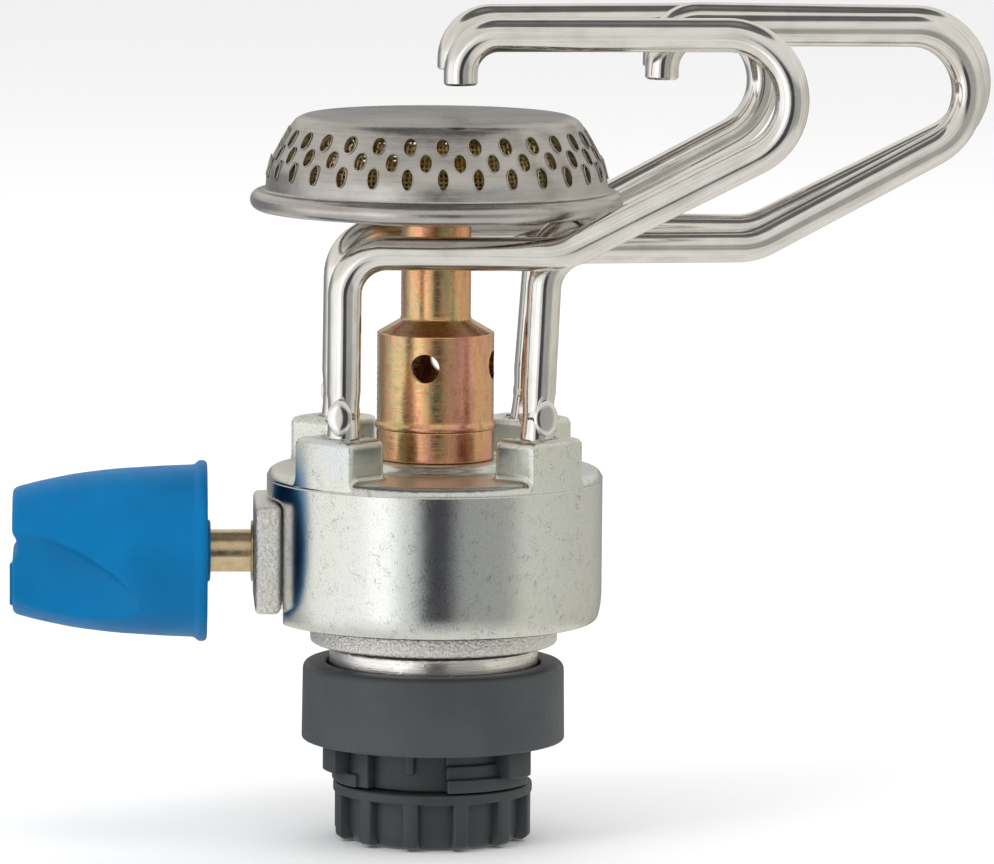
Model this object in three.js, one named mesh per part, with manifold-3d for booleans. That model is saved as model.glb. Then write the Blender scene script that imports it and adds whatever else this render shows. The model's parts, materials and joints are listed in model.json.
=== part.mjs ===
// Upright camping stove that stands on a gas cartridge.
// Millimetres, +Z up. The Z axis is the stove's own axis and the origin is the bottom of the coupling's
// nose. The control knob points along -X and the four wire pan supports are folded together towards +X.

import * as THREE from 'three';
import { mergeVertices } from 'three/addons/utils/BufferGeometryUtils.js';
import Module from 'manifold-3d';

const wasm = await Module();
wasm.setup();

// ---------------------------------------------------------------------------------------------------
// Driving dimensions
// ---------------------------------------------------------------------------------------------------

const GAP = 0.3;              // space kept between pieces that touch
const ROUND = 36;             // facets round a large turned piece
const ROUND_SMALL = 16;       // facets round a small turned piece
const DEGREE = Math.PI / 180;

const DRUM = { r: 25.2, footR: 24.7, bottom: 33.3, top: 56.2, wall: 1.9, roof: 3.6, edge: 1.8 };
const DRUM_CAVITY_TOP = DRUM.top - DRUM.roof;
const PAD = { r: 11, top: 57.6 };
const FLAT_X = -22.9;         // the drum's flat side, behind the knob
const FLAT_TOP = 51.8;
const BOSS = { width: 11, inner: 16.7, top: 62.4, corner: 1.0 };

const WIRE_R = 2.5;
const LEG = { x: 14.2, y: 14.6, pivotZ: 57, holeR: 3.0, endR: 1.8, endZ: 50.4, stepZ: 52.2 };
const LEG_WASHER = { r: 3.6, bottom: 51.3, top: 51.8, pocketR: 4.0 };
const EAR = { bottom: 62.9, height: 5.6, reach: 4.3, thickness: 2.2 };
const ARM = {
  runZ: 90.6, height: 32.2, slope: 26.7, kneeR: 11, shoulderR: 6.4, loopR: 9.4, tipR: 5.8,
  loopX: 56.8, tipX: 17.4, tipDrop: 7.4,
};
// yaw: where the arm points, from +X towards +Y; lean: how far the leg leans along its arm;
// sag: how far the upper part tips down towards its end; lift: how much higher it is bent than the others
const ARMS = [
  { name: 'front_left', side: -1, face: -1, yaw: -10.8, lean: 0.2, sag: -0.9, lift: -0.9 },
  { name: 'back_left', side: -1, face: 1, yaw: 11, lean: 0.6, sag: 0, lift: -0.7 },
  { name: 'front_right', side: 1, face: -1, yaw: 15, lean: 2.5, sag: 0.8, lift: 0.1 },
  { name: 'back_right', side: 1, face: 1, yaw: 5, lean: 4.1, sag: 0.8, lift: 0.2 },
];

const SPINDLE_Z = 43.5;
const SPINDLE = {
  r: 3.2, flat: 2.46, flatTurn: 50, taperX: -9.5, tipR: 0.9, tipX: -6.4, endX: -56,
  sealX: [-13.5, -16.5], sealGroove: 1.4, sealDepth: 1.0,
};
const GLAND = {
  r: 4.55, headX: -27.55, boreR: 3.3, threadR: 4.2, innerX: -19.4, packingX: -19.1, boreEndX: -18.0,
};
const BLOCK = { outerX: -27.1, width: 21, height: 16.3, z: 43.35, corner: 1.4 };
const KNOB = { r: 12.95, lipR: 13.6, lipX: -34.1, endX: -63.2, endR: 9.4, hubR: 4.75, hubX: -33.6 };
const KNOB_SIDE = [[10.4, -59.5], [11.55, -54], [12.3, -48], [12.75, -41]];   // bulge, from end to lip
const KNOB_CAVITY = { mouthR: 11.2, endR: 10.4, endX: -45.5 };
const KNOB_GROOVE = { r: 3.6, inset: 3.0, raise: 2.0 };
const FINGER = { size: [22, 5.6, 8.5], slope: 24, place: [-62, -12.4, -3.6] };

const BODY = { r: 16.3, top: 52.2, flangeR: 18.6, flangeZ: 29.7, neckR: 15.7, neckZ: 20.6 };
const STOP = { r: 18.2, bottom: 22.8, top: 24.6 };   // the neck's collar that stops the sliding ring
const SPIGOT = { r: 11.4, bottom: 11.6 };
const ARM_BLOCK = { width: 14, innerX: -8, bottom: 36.6, top: 50.1 };   // joins the core to the side block
const PASSAGE = {
  needleR: 1.0, gasR: 1.0, gasTop: 50, jetR: 7.0, jetZ: 48.6, inletR: 4.6, inletTop: 24, feedR: 1.2,
};
const CLIP = { bottom: 12.6, top: 13.2, depth: 0.5, grooveBottom: 12.2, grooveTop: 13.6, grooveDepth: 0.9 };

const COLLAR = { r: 19.8, bottom: 15.2, top: 26.9, mouthR: 16.2, boreR: 18.7, lip: 2.0, edge: 1.2 };
const COLLAR_GROOVE = { bottom: 16.2, top: 17.4, depth: 0.5 };
const COLLAR_RING = { r: 18.9, boreR: 17.3, bottom: 16.5, top: 17.1 };
const COLLAR_SPRING = { r: 18.3, boreR: 17.1 };
const COUPLING = { r: 13.0, bottom: 9.0, top: 20.3, boreR: 11.75 };
// One of the coupling's three sets of lugs, in degrees round the hub.
const LUGS = [
  { r: 15.2, bottom: 9.0, top: 11.0, from: -84, to: -22 },
  { r: 14.4, bottom: 10.9, top: 13.0, from: -84, to: -26 },
  { r: 13.8, bottom: 12.9, top: 20.3, from: -84, to: -28 },
  { r: 14.2, bottom: 11.5, top: 17.3, from: -110, to: -104 },
  { r: 14.6, bottom: 9.0, top: 14.4, from: -150, to: -134 },
  { r: 17.0, bottom: 10.8, top: 14.8, from: -170, to: -152 },
];
const NOSE = { r: 15.0, floorR: 13.4, footR: 12.2, foot: 1.0, top: 8.7, ringZ: 7.2, boreR: 9.2 };
const RIB = { count: 12, first: 14.6, width: 2.4, depth: 2.3, bottom: 0.7, inset: 0.1 };
const INLET_TUBE = {
  boreR: 1.2, tipR: 2.2, r: 3.2, rootR: 4.3, bottom: 5.0, taperTop: 7.0, step: 14.5, top: 23.4,
};
const INLET_SEAL = { r: 4.35, boreR: 3.45, bottom: 12.3, top: 14.1 };
const NOSE_SEAL = { r: 8.9, boreR: 5.3, bottom: 5.4, top: 7.8 };

const MIXER = { r: 8.78, baseR: 8.85, ridge: 62.6, shoulder: 76.6, neckZ: 78.6, neckR: 5.25, top: 96.2 };
const MIXER_WALL = 1.2;
const MIXER_NECK_WALL = 1.0;
const JET_HOLDER = { r: 6.7, boreR: 4.2, bottom: 49.4, plugR: 7.4, plugTop: 63.6, cupR: 6.2, cupZ: 60.4 };
const JET = {
  r: 3.9, boreR: 0.5, bottom: 52.6, shoulder: 57.0, stemR: 2.4, noseR: 2.0, noseZ: 64.5, tipR: 0.9, top: 66.2,
};
const JET_WASHER = { r: 6.5, boreR: 4.6, bottom: 48.9, top: 49.1 };
const FILTER = { r: 3.8, bottom: 50.0, top: 52.2 };
const AIR_HOLE = { r: 2.15, z: 71.9, first: -103 };

const CAP = { beadZ: 96.4, beadR: 26.4, bead: 1.5, topZ: 109.2, sheet: 0.6 };
const CAP_WALL = [[25.6, 97.9], [25.3, 101.4], [21.4, 108.2], [19.5, 109.2]];
const PAN = {
  boreR: 5.6, flatR: 12, slopeR: 20, rimR: 24.5, bottom: 93.3, slopeZ: 94.2, cornerZ: 95.4, rimZ: 97.0,
  sheet: 0.7,
};
const RIVET_RING = { r: 8.2, boreR: 5.55, bottom: 94.3, top: 95.3 };
const MESH = { r: 23.4, bulgeR: 23.6, topR: 20.6, bottom: 98.0, bulgeZ: 101.0, top: 107.6, thickness: 0.5 };
const CAP_HOLES = { count: 30, first: -90.4 };
const CAP_ROWS = [
  { z: 106.0, r: 22.8, width: 2.0, height: 2.9, tilt: 60, shift: 0 },
  { z: 103.7, r: 24.0, width: 1.9, height: 2.9, tilt: 62, shift: 0.5 },
  { z: 101.4, r: 25.2, width: 1.7, height: 3.2, tilt: 75, shift: 0 },
];

// ---------------------------------------------------------------------------------------------------
// Materials
// ---------------------------------------------------------------------------------------------------

const metal = (color, roughness) => new THREE.MeshStandardMaterial({ color, roughness, metalness: 1 });
const dull = (color, roughness) => new THREE.MeshStandardMaterial({ color, roughness, metalness: 0 });

const zincPlated = metal(0xc9cdd0, 0.35);
const castZinc = metal(0xb9b5ad, 0.6);
const passivated = metal(0xb99a62, 0.3);
const stainless = metal(0xc7c5c1, 0.18);
const stainlessSheet = metal(0xb9b2aa, 0.35);
const brass = metal(0xb08f5a, 0.3);
const springSteel = metal(0x8f9296, 0.3);
const bluePlastic = dull(0x0071b0, 0.4);
const greyPlastic = dull(0x484d50, 0.5);
const blackRubber = dull(0x1c1c1c, 0.8);
const fibre = dull(0x8c2f22, 0.8);

// ---------------------------------------------------------------------------------------------------
// Shape helpers
// ---------------------------------------------------------------------------------------------------

/** Turns a closed geometry into a solid that can be joined and cut. */
function toSolid(geometry) {
  const bare = geometry.clone();
  bare.deleteAttribute('normal');
  bare.deleteAttribute('uv');
  const merged = mergeVertices(bare, 1e-5);
  const index = merged.index.array;
  const triangles = [];
  for (let i = 0; i < index.length; i += 3) {
    const [a, b, c] = [index[i], index[i + 1], index[i + 2]];
    if (a !== b && b !== c && c !== a) triangles.push(a, b, c);
  }
  return new wasm.Manifold(new wasm.Mesh({
    numProp: 3,
    vertProperties: new Float32Array(merged.attributes.position.array),
    triVerts: new Uint32Array(triangles),
  }));
}

/** Turns a solid back into a geometry. */
function toGeometry(solid) {
  const mesh = solid.getMesh();
  const geometry = new THREE.BufferGeometry();
  geometry.setAttribute('position', new THREE.BufferAttribute(new Float32Array(mesh.vertProperties), 3));
  geometry.setIndex(new THREE.BufferAttribute(new Uint32Array(mesh.triVerts), 1));
  geometry.computeVertexNormals();
  return geometry;
}

const cut = (solid, ...tools) => tools.reduce((left, tool) => left.subtract(tool), solid);
const join = (solid, ...others) => others.reduce((sum, other) => sum.add(other), solid);

/** A solid turned about Z from a closed outline of [radius, z] points, outside going up. */
function turned(outline, facets = ROUND) {
  const closed = [...outline, outline[0]].map(([r, z]) => new THREE.Vector2(r, z));
  const geometry = new THREE.LatheGeometry(closed, facets);
  geometry.rotateX(Math.PI / 2);
  geometry.rotateZ(Math.PI / facets);
  return toSolid(geometry);
}

/** A solid turned about the spindle's axis from [radius, x] points. */
const turnedOnSpindle = (outline, facets = ROUND_SMALL) =>
  toSolid(toGeometry(turned(outline, facets)).rotateY(Math.PI / 2).translate(0, 0, SPINDLE_Z));

const tubeOutline = (outer, inner, bottom, top) =>
  [[inner, bottom], [outer, bottom], [outer, top], [inner, top]];
const discOutline = (r, bottom, top) => tubeOutline(r, 0, bottom, top);

/** Points of an arc in [radius, z], from one angle to another in degrees. */
function arc(r, z, radius, from, to, steps) {
  return Array.from({ length: steps + 1 }, (_, i) => {
    const angle = (from + (to - from) * i / steps) * DEGREE;
    return [r + radius * Math.cos(angle), z + radius * Math.sin(angle)];
  });
}

/** A box given by its lowest and highest corners. */
function box(low, high) {
  const size = high.map((value, axis) => value - low[axis]);
  const middle = high.map((value, axis) => (value + low[axis]) / 2);
  return toSolid(new THREE.BoxGeometry(...size).translate(...middle));
}

/** A round rod along Z at a place, between two heights. */
const post = (x, y, r, bottom, top, facets = ROUND_SMALL) =>
  toSolid(new THREE.CylinderGeometry(r, r, top - bottom, facets).rotateX(Math.PI / 2)
    .translate(x, y, (bottom + top) / 2));

/** A flat ring round Z at a place. */
const washer = (x, y, outer, inner, bottom, top, facets = ROUND_SMALL) =>
  post(x, y, outer, bottom, top, facets).subtract(post(x, y, inner, bottom - 1, top + 1, facets));

/** A rectangle with rounded corners, extruded up Z between two heights. */
function roundedBlock(width, depth, corner, bottom, top) {
  const [w, d] = [width / 2, depth / 2];
  const outline = new THREE.Shape();
  outline.absarc(w - corner, d - corner, corner, 0, 90 * DEGREE);
  outline.absarc(corner - w, d - corner, corner, 90 * DEGREE, 180 * DEGREE);
  outline.absarc(corner - w, corner - d, corner, 180 * DEGREE, 270 * DEGREE);
  outline.absarc(w - corner, corner - d, corner, 270 * DEGREE, 360 * DEGREE);
  return new THREE.ExtrudeGeometry(outline, { depth: top - bottom, bevelEnabled: false, curveSegments: 3 })
    .translate(0, 0, bottom);
}

/** A curve through bend points whose steps fall on those points, so that straight stretches stay plain. */
class BentWire extends THREE.Curve {
  constructor(points) {
    super();
    this.points = points;
  }

  getPoint(t, target = new THREE.Vector3()) {
    const place = t * (this.points.length - 1);
    const index = Math.min(Math.floor(place), this.points.length - 2);
    return target.copy(this.points[index]).lerp(this.points[index + 1], place - index);
  }

  getPointAt(u, target) {
    return this.getPoint(u, target);
  }

  getTangentAt(u, target = new THREE.Vector3()) {
    const index = Math.round(u * (this.points.length - 1));
    const before = this.points[Math.max(index - 1, 0)];
    const after = this.points[Math.min(index + 1, this.points.length - 1)];
    return target.copy(after).sub(before).normalize();
  }

  getSpacedPoints(divisions) {
    return this.getPoints(divisions);
  }
}

/** A round wire along a list of points. */
function wire(points, radius, sides) {
  const section = new THREE.Shape();
  section.absarc(0, 0, radius, 0, 360 * DEGREE);
  return toSolid(new THREE.ExtrudeGeometry(section, {
    steps: points.length - 1, curveSegments: sides, extrudePath: new BentWire(points),
  }));
}

// ---------------------------------------------------------------------------------------------------
// Pan supports
// ---------------------------------------------------------------------------------------------------

/** Points of a rounded corner in the arm's own plane, between two straight stretches. */
function corner(before, at, after, radius, steps) {
  const towardsBefore = before.clone().sub(at).normalize();
  const towardsAfter = after.clone().sub(at).normalize();
  const halfAngle = Math.acos(towardsBefore.dot(towardsAfter)) / 2;
  const middle = towardsBefore.clone().add(towardsAfter).normalize();
  const centre = at.clone().addScaledVector(middle, radius / Math.sin(halfAngle));
  const first = at.clone().addScaledVector(towardsBefore, radius / Math.tan(halfAngle)).sub(centre);
  const last = at.clone().addScaledVector(towardsAfter, radius / Math.tan(halfAngle)).sub(centre);
  let turn = last.angle() - first.angle();
  if (turn > Math.PI) turn -= 2 * Math.PI;
  if (turn < -Math.PI) turn += 2 * Math.PI;
  return Array.from({ length: steps + 1 }, (_, i) =>
    first.clone().rotateAround(new THREE.Vector2(), turn * i / steps).add(centre));
}

/** The centre line of one arm: leg, lower run, rising stretch, return loop, top run and tip. */
function armLine({ lean, sag, lift }) {
  const onLeg = (z) => new THREE.Vector2((z - LEG.pivotZ) * Math.tan(lean * DEGREE), z);
  const legTop = onLeg(ARM.runZ + lift);
  const upper = (x, z) =>
    new THREE.Vector2(x, z).rotateAround(new THREE.Vector2(), -sag * DEGREE).add(legTop);
  const rise = ARM.slope * DEGREE;
  const loop = { x: ARM.loopX, z: ARM.height - ARM.loopR };
  const loopStart = { x: loop.x + ARM.loopR * Math.sin(rise), z: loop.z - ARM.loopR * Math.cos(rise) };
  const knee = upper(loopStart.x - loopStart.z / Math.tan(rise), 0);
  const loopSteps = 9;
  const loopPoints = Array.from({ length: loopSteps + 1 }, (_, i) => {
    const angle = (rise - Math.PI / 2) + (Math.PI - rise) * i / loopSteps;
    return upper(loop.x + ARM.loopR * Math.cos(angle), loop.z + ARM.loopR * Math.sin(angle));
  });
  const tipTop = upper(ARM.tipX, ARM.height);
  const tipEnd = upper(ARM.tipX, ARM.height - ARM.tipDrop);
  return [
    onLeg(LEG.stepZ),
    ...corner(onLeg(LEG.stepZ), legTop, knee, ARM.shoulderR, 5),
    ...corner(legTop, knee, loopPoints[0], ARM.kneeR, 3),
    ...loopPoints,
    ...corner(loopPoints[loopSteps], tipTop, tipEnd, ARM.tipR, 5),
    tipEnd,
  ];
}

/** One bent-wire pan support, with its stepped lower end and the two pinched ears that rest on the boss. */
function panSupport(arm) {
  const line = armLine(arm).map((point) => new THREE.Vector3(point.x, 0, point.y));
  const shift = (z) => (z - LEG.pivotZ) * Math.tan(arm.lean * DEGREE);
  const stepped = post(shift(LEG.stepZ), 0, LEG.endR, LEG.endZ, LEG.stepZ + 1, 12);
  const earZ = EAR.bottom + EAR.height / 2;
  const ears = toSolid(new THREE.SphereGeometry(1, 12, 8)
    .scale(EAR.thickness, EAR.reach * 1.15, EAR.height / 2).translate(shift(earZ), 0, earZ));
  const trim = box(
    [-ARM.shoulderR, -EAR.reach, EAR.bottom], [ARM.shoulderR, EAR.reach, EAR.bottom + EAR.height]);
  return join(wire(line, WIRE_R, 5), stepped, ears.intersect(trim));
}

// ---------------------------------------------------------------------------------------------------
// Housing and valve
// ---------------------------------------------------------------------------------------------------

const legPlaces = ARMS.map(({ side, face }) => [side * LEG.x, face * LEG.y]);

/** The die-cast drum: a cup open below, with a raised pad and four leg bosses on its roof. */
function supportHousing() {
  const innerR = DRUM.r - DRUM.wall;
  const shell = turned([
    [innerR - 0.4, DRUM.bottom],
    ...arc(DRUM.footR - DRUM.edge, DRUM.bottom + DRUM.edge, DRUM.edge, -90, 0, 3),
    ...arc(DRUM.r - 1.4, DRUM.top - 2.0, 1.4, 0, 75, 4),
    [PAD.r + 0.6, DRUM.top],
    [PAD.r, PAD.top],
    [7.3, PAD.top],
    [7.3, DRUM_CAVITY_TOP],
    [innerR, DRUM_CAVITY_TOP],
  ], 48);
  const outside = turned(discOutline(DRUM.r, DRUM.bottom, BOSS.top + 1), 48);
  const depth = DRUM.r + 2 - BOSS.inner;
  const bosses = [45, 135, 225, 315].map((angle) => {
    const block = roundedBlock(depth, BOSS.width, BOSS.corner, DRUM.top - 2.5, BOSS.top)
      .translate(BOSS.inner + depth / 2, 0, 0).rotateZ(angle * DEGREE);
    return toSolid(block).intersect(outside);
  });
  const holes = legPlaces.map(([x, y]) => post(x, y, LEG.holeR, DRUM_CAVITY_TOP - 1, BOSS.top + 1, 16));
  const pockets = legPlaces.map(([x, y]) => post(x, y, LEG_WASHER.pocketR, LEG.endZ - 3, DRUM_CAVITY_TOP));
  const flat = box([-30, -15, DRUM.bottom - 1], [FLAT_X, 15, FLAT_TOP]);
  const slot = box([-30, -7.5, DRUM.bottom - 1], [-15, 7.5, 50.5]);
  return cut(join(shell, ...bosses), ...holes, ...pockets, flat, slot);
}

/** The rough inner casting: flange, neck, spigot, and the side block that carries the spindle. */
function valveBody() {
  const core = turned([
    [0, SPIGOT.bottom],
    [SPIGOT.r, SPIGOT.bottom],
    [SPIGOT.r, BODY.neckZ],
    [BODY.neckR, BODY.neckZ],
    [BODY.neckR, STOP.bottom],
    [STOP.r, STOP.bottom],
    [STOP.r, STOP.top],
    [BODY.neckR, STOP.top],
    [BODY.neckR, BODY.flangeZ],
    [BODY.flangeR, BODY.flangeZ + 0.3],
    [BODY.flangeR, DRUM.bottom - GAP],
    [BODY.r, DRUM.bottom + 0.4],
    [BODY.r, BODY.top],
    [0, BODY.top],
  ]);
  const halfArm = ARM_BLOCK.width / 2;
  const arm = box([FLAT_X - GAP - 1, -halfArm, ARM_BLOCK.bottom], [ARM_BLOCK.innerX, halfArm, ARM_BLOCK.top]);
  const blockDepth = FLAT_X - GAP - BLOCK.outerX;
  const block = toSolid(roundedBlock(BLOCK.height, BLOCK.width, BLOCK.corner, 0, blockDepth)
    .rotateY(-Math.PI / 2).translate(FLAT_X - GAP, 0, BLOCK.z));
  const spindleBore = turnedOnSpindle(discOutline(SPINDLE.r + GAP, GLAND.innerX - 1, SPINDLE.tipX + 0.4));
  const needleBore = turnedOnSpindle(discOutline(PASSAGE.needleR, SPINDLE.tipX - 1, 0), 12);
  const glandBore = turnedOnSpindle(discOutline(GLAND.threadR + GAP, BLOCK.outerX - 1, GLAND.boreEndX));
  const jetBore = post(0, 0, PASSAGE.jetR, PASSAGE.jetZ, BODY.top + 1);
  const gasBore = post(0, 0, PASSAGE.gasR, SPINDLE_Z, PASSAGE.gasTop, 12);
  const inlet = post(0, 0, PASSAGE.inletR, SPIGOT.bottom - 1, PASSAGE.inletTop);
  const inletPassage = post(0, 0, PASSAGE.feedR, PASSAGE.inletTop - 1, SPINDLE_Z, 12);
  const clipGroove = washer(
    0, 0, SPIGOT.r + 1, SPIGOT.r - CLIP.grooveDepth, CLIP.grooveBottom, CLIP.grooveTop, ROUND);
  return cut(
    join(core, arm, block), spindleBore, needleBore, glandBore, jetBore, gasBore, inlet, inletPassage,
    clipGroove);
}

const glandNut = () => turnedOnSpindle([
  [GLAND.boreR, GLAND.headX], [GLAND.r, GLAND.headX], [GLAND.r, BLOCK.outerX - GAP / 2],
  [GLAND.threadR, BLOCK.outerX - GAP / 2], [GLAND.threadR, GLAND.innerX], [GLAND.boreR, GLAND.innerX],
]);

const packingWasher = () =>
  turnedOnSpindle(tubeOutline(GLAND.threadR, GLAND.boreR, GLAND.packingX, GLAND.boreEndX - GAP));

/** What lies past the D-shaped flat on the spindle's outer end, kept a gap away from it. */
function beyondFlat(gap) {
  const [length, depth, width] = [30, 6, 10];
  return toSolid(new THREE.BoxGeometry(length, depth, width)
    .translate(SPINDLE.endX + length / 2 - 1, -SPINDLE.flat - gap - depth / 2, 0)
    .rotateX(SPINDLE.flatTurn * DEGREE).translate(0, 0, SPINDLE_Z));
}

/** The brass spindle: needle tip, two seal grooves and the D-shaped end that carries the knob. */
function spindle() {
  const [innerSeal, outerSeal] = SPINDLE.sealX;
  const half = SPINDLE.sealGroove / 2;
  const neck = SPINDLE.r - SPINDLE.sealDepth;
  const rod = turnedOnSpindle([
    [0, SPINDLE.endX], [SPINDLE.r, SPINDLE.endX],
    [SPINDLE.r, outerSeal - half], [neck, outerSeal - half], [neck, outerSeal + half],
    [SPINDLE.r, outerSeal + half], [SPINDLE.r, innerSeal - half], [neck, innerSeal - half],
    [neck, innerSeal + half], [SPINDLE.r, innerSeal + half],
    [SPINDLE.r, SPINDLE.taperX], [SPINDLE.tipR, SPINDLE.tipX], [0, SPINDLE.tipX],
  ]);
  return rod.subtract(beyondFlat(0));
}

const spindleSeal = (x) => turnedOnSpindle(
  tubeOutline(SPINDLE.r + 0.2, SPINDLE.r - 0.75, x - 0.5, x + 0.5));

// ---------------------------------------------------------------------------------------------------
// Control knob
// ---------------------------------------------------------------------------------------------------

/** One finger hollow, scooped out of the side of the knob and running down and back from its end. */
const fingerHollow = (turn) => toSolid(new THREE.SphereGeometry(1, 18, 12)
  .scale(...FINGER.size).rotateY(FINGER.slope * DEGREE).translate(...FINGER.place).rotateX(turn * DEGREE)
  .translate(0, 0, SPINDLE_Z));

/** The blue knob: a tapered cup with a central hub, a rolled lip and two finger hollows. */
function controlKnob() {
  const outline = [
    [0, KNOB.endX], [KNOB.endR - 0.9, KNOB.endX], [KNOB.endR, KNOB.endX + 0.8],
    ...KNOB_SIDE, [KNOB.r, KNOB.lipX - 1.7], [KNOB.lipR, KNOB.lipX - 1.2], [KNOB.lipR, KNOB.lipX - 0.4],
    [KNOB.lipR - 0.4, KNOB.lipX], [KNOB_CAVITY.mouthR, KNOB.lipX], [KNOB_CAVITY.endR, KNOB_CAVITY.endX],
    [KNOB.hubR, KNOB_CAVITY.endX], [KNOB.hubR, KNOB.hubX], [0, KNOB.hubX],
  ];
  const body = turnedOnSpindle(outline, ROUND);
  const shaftBore = turnedOnSpindle(discOutline(SPINDLE.r + GAP, SPINDLE.endX - GAP, KNOB.hubX + 1));
  const endGroove = toSolid(new THREE.CylinderGeometry(KNOB_GROOVE.r, KNOB_GROOVE.r, 3 * KNOB.r, 16)
    .translate(KNOB.endX - KNOB_GROOVE.inset, 0, SPINDLE_Z + KNOB_GROOVE.raise));
  return cut(body, shaftBore.subtract(beyondFlat(GAP)), fingerHollow(0), fingerHollow(180), endGroove);
}

// ---------------------------------------------------------------------------------------------------
// Mixer tube and jet
// ---------------------------------------------------------------------------------------------------

/** The base that screws into the valve body, clamps the drum down and holds the jet. */
const jetHolder = () => turned([
  [JET_HOLDER.boreR, JET_HOLDER.bottom], [JET_HOLDER.r, JET_HOLDER.bottom], [JET_HOLDER.r, PAD.top + GAP],
  [MIXER.baseR, PAD.top + GAP], [MIXER.baseR, MIXER.ridge - GAP], [JET_HOLDER.plugR, MIXER.ridge - GAP],
  [JET_HOLDER.plugR, JET_HOLDER.plugTop], [JET_HOLDER.cupR, JET_HOLDER.plugTop],
  [JET_HOLDER.cupR, JET_HOLDER.cupZ], [JET_HOLDER.boreR, JET_HOLDER.cupZ],
]);

/** The mixer tube: a wide body with air holes, a cone, and the narrow pipe up into the burner. */
function mixerTube() {
  const bore = MIXER.neckR - MIXER_NECK_WALL;
  const shell = turned([
    [MIXER.r - MIXER_WALL, MIXER.ridge], [MIXER.r + 0.1, MIXER.ridge], [MIXER.r, MIXER.ridge + 0.5],
    [MIXER.r, MIXER.shoulder], [MIXER.neckR, MIXER.neckZ], [MIXER.neckR, MIXER.top],
    [bore, MIXER.top], [bore, MIXER.neckZ - 1.2], [MIXER.r - MIXER_WALL, MIXER.shoulder - 1.4],
  ]);
  const holes = [0, 90].map((turn) => toSolid(new THREE.CylinderGeometry(AIR_HOLE.r, AIR_HOLE.r, 30, 16)
    .rotateZ(90 * DEGREE).rotateZ((AIR_HOLE.first + turn) * DEGREE).translate(0, 0, AIR_HOLE.z)));
  return cut(shell, ...holes);
}

const jet = () => turned([
  [JET.boreR, JET.bottom], [JET.r, JET.bottom], [JET.r, JET.shoulder], [JET.stemR, JET.shoulder],
  [JET.noseR, JET.noseZ], [JET.tipR, JET.top], [JET.boreR, JET.top],
], ROUND_SMALL);

const jetWasher = () => washer(0, 0, JET_WASHER.r, JET_WASHER.boreR, JET_WASHER.bottom, JET_WASHER.top);
const gasFilter = () => post(0, 0, FILTER.r, FILTER.bottom, FILTER.top);

// ---------------------------------------------------------------------------------------------------
// Burner
// ---------------------------------------------------------------------------------------------------

/** The pressed burner cap with its rolled bead and three rows of slanted oval flame holes. */
function burnerCap() {
  const inside = CAP_WALL.map(([r, z]) => [r - CAP.sheet, z - CAP.sheet / 3]);
  const shell = turned([
    ...arc(CAP.beadR, CAP.beadZ, CAP.bead, -100, 80, 5),
    ...CAP_WALL,
    [0, CAP.topZ],
    [0, CAP.topZ - CAP.sheet],
    ...inside.slice(1, -1).reverse(),
    [CAP.beadR - CAP.bead, CAP.beadZ + 1.0],
    [CAP.beadR - CAP.bead, CAP.beadZ - 1.0],
  ], CAP_HOLES.count);
  const holes = CAP_ROWS.flatMap(({ z, r, width, height, tilt, shift }) =>
    Array.from({ length: CAP_HOLES.count }, (_, i) => {
      const angle = CAP_HOLES.first + 360 / CAP_HOLES.count * (i + shift);
      return toSolid(new THREE.CylinderGeometry(0.55, 0.55, 4, 4).scale(width, 1, height)
        .rotateX(90 * DEGREE).rotateZ(-90 * DEGREE)
        .rotateY(-(90 - tilt) * DEGREE).translate(r, 0, z).rotateZ(angle * DEGREE));
    }));
  return cut(shell, ...holes);
}

/** The dished pan that closes the burner from below. */
const burnerPan = () => turned([
  [PAN.boreR, PAN.bottom], [PAN.flatR, PAN.bottom], [PAN.slopeR, PAN.slopeZ], [PAN.rimR - 0.3, PAN.cornerZ],
  [PAN.rimR, PAN.cornerZ + 0.8], [PAN.rimR, PAN.rimZ], [PAN.rimR - PAN.sheet, PAN.rimZ],
  [PAN.slopeR, PAN.slopeZ + PAN.sheet], [PAN.flatR, PAN.bottom + PAN.sheet],
  [PAN.boreR, PAN.bottom + PAN.sheet],
]);

const burnerRivetRing = () =>
  washer(0, 0, RIVET_RING.r, RIVET_RING.boreR, RIVET_RING.bottom, RIVET_RING.top);

/** The woven strip behind the flame holes, as a thin tapered ring. */
const burnerMesh = () => turned([
  [MESH.r - MESH.thickness, MESH.bottom], [MESH.r, MESH.bottom], [MESH.bulgeR, MESH.bulgeZ],
  [MESH.topR, MESH.top], [MESH.topR - MESH.thickness, MESH.top - 0.2],
  [MESH.r - MESH.thickness, MESH.bulgeZ - 0.1],
]);

// ---------------------------------------------------------------------------------------------------
// Cartridge coupling
// ---------------------------------------------------------------------------------------------------

/** A block of the coupling that spans an angle between two radii and two heights. */
function sector(inner, outer, bottom, top, from, to) {
  const outline = new THREE.Shape();
  outline.absarc(0, 0, outer, from * DEGREE, to * DEGREE, false);
  outline.absarc(0, 0, inner, to * DEGREE, from * DEGREE, true);
  return toSolid(new THREE.ExtrudeGeometry(outline, { depth: top - bottom, bevelEnabled: false, curveSegments: 6 })
    .translate(0, 0, bottom));
}

/** The dark plastic coupling with its locking lugs, which reaches up inside the collar. */
function couplingBody() {
  const hub = turned(tubeOutline(COUPLING.r, COUPLING.boreR, COUPLING.bottom, COUPLING.top));
  const root = COUPLING.r - 0.6;
  const lugs = [0, 120, 240].flatMap((turn) => LUGS.map((lug) =>
    sector(root, lug.r, lug.bottom, lug.top, lug.from + turn, lug.to + turn)));
  return join(hub, ...lugs);
}

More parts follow.
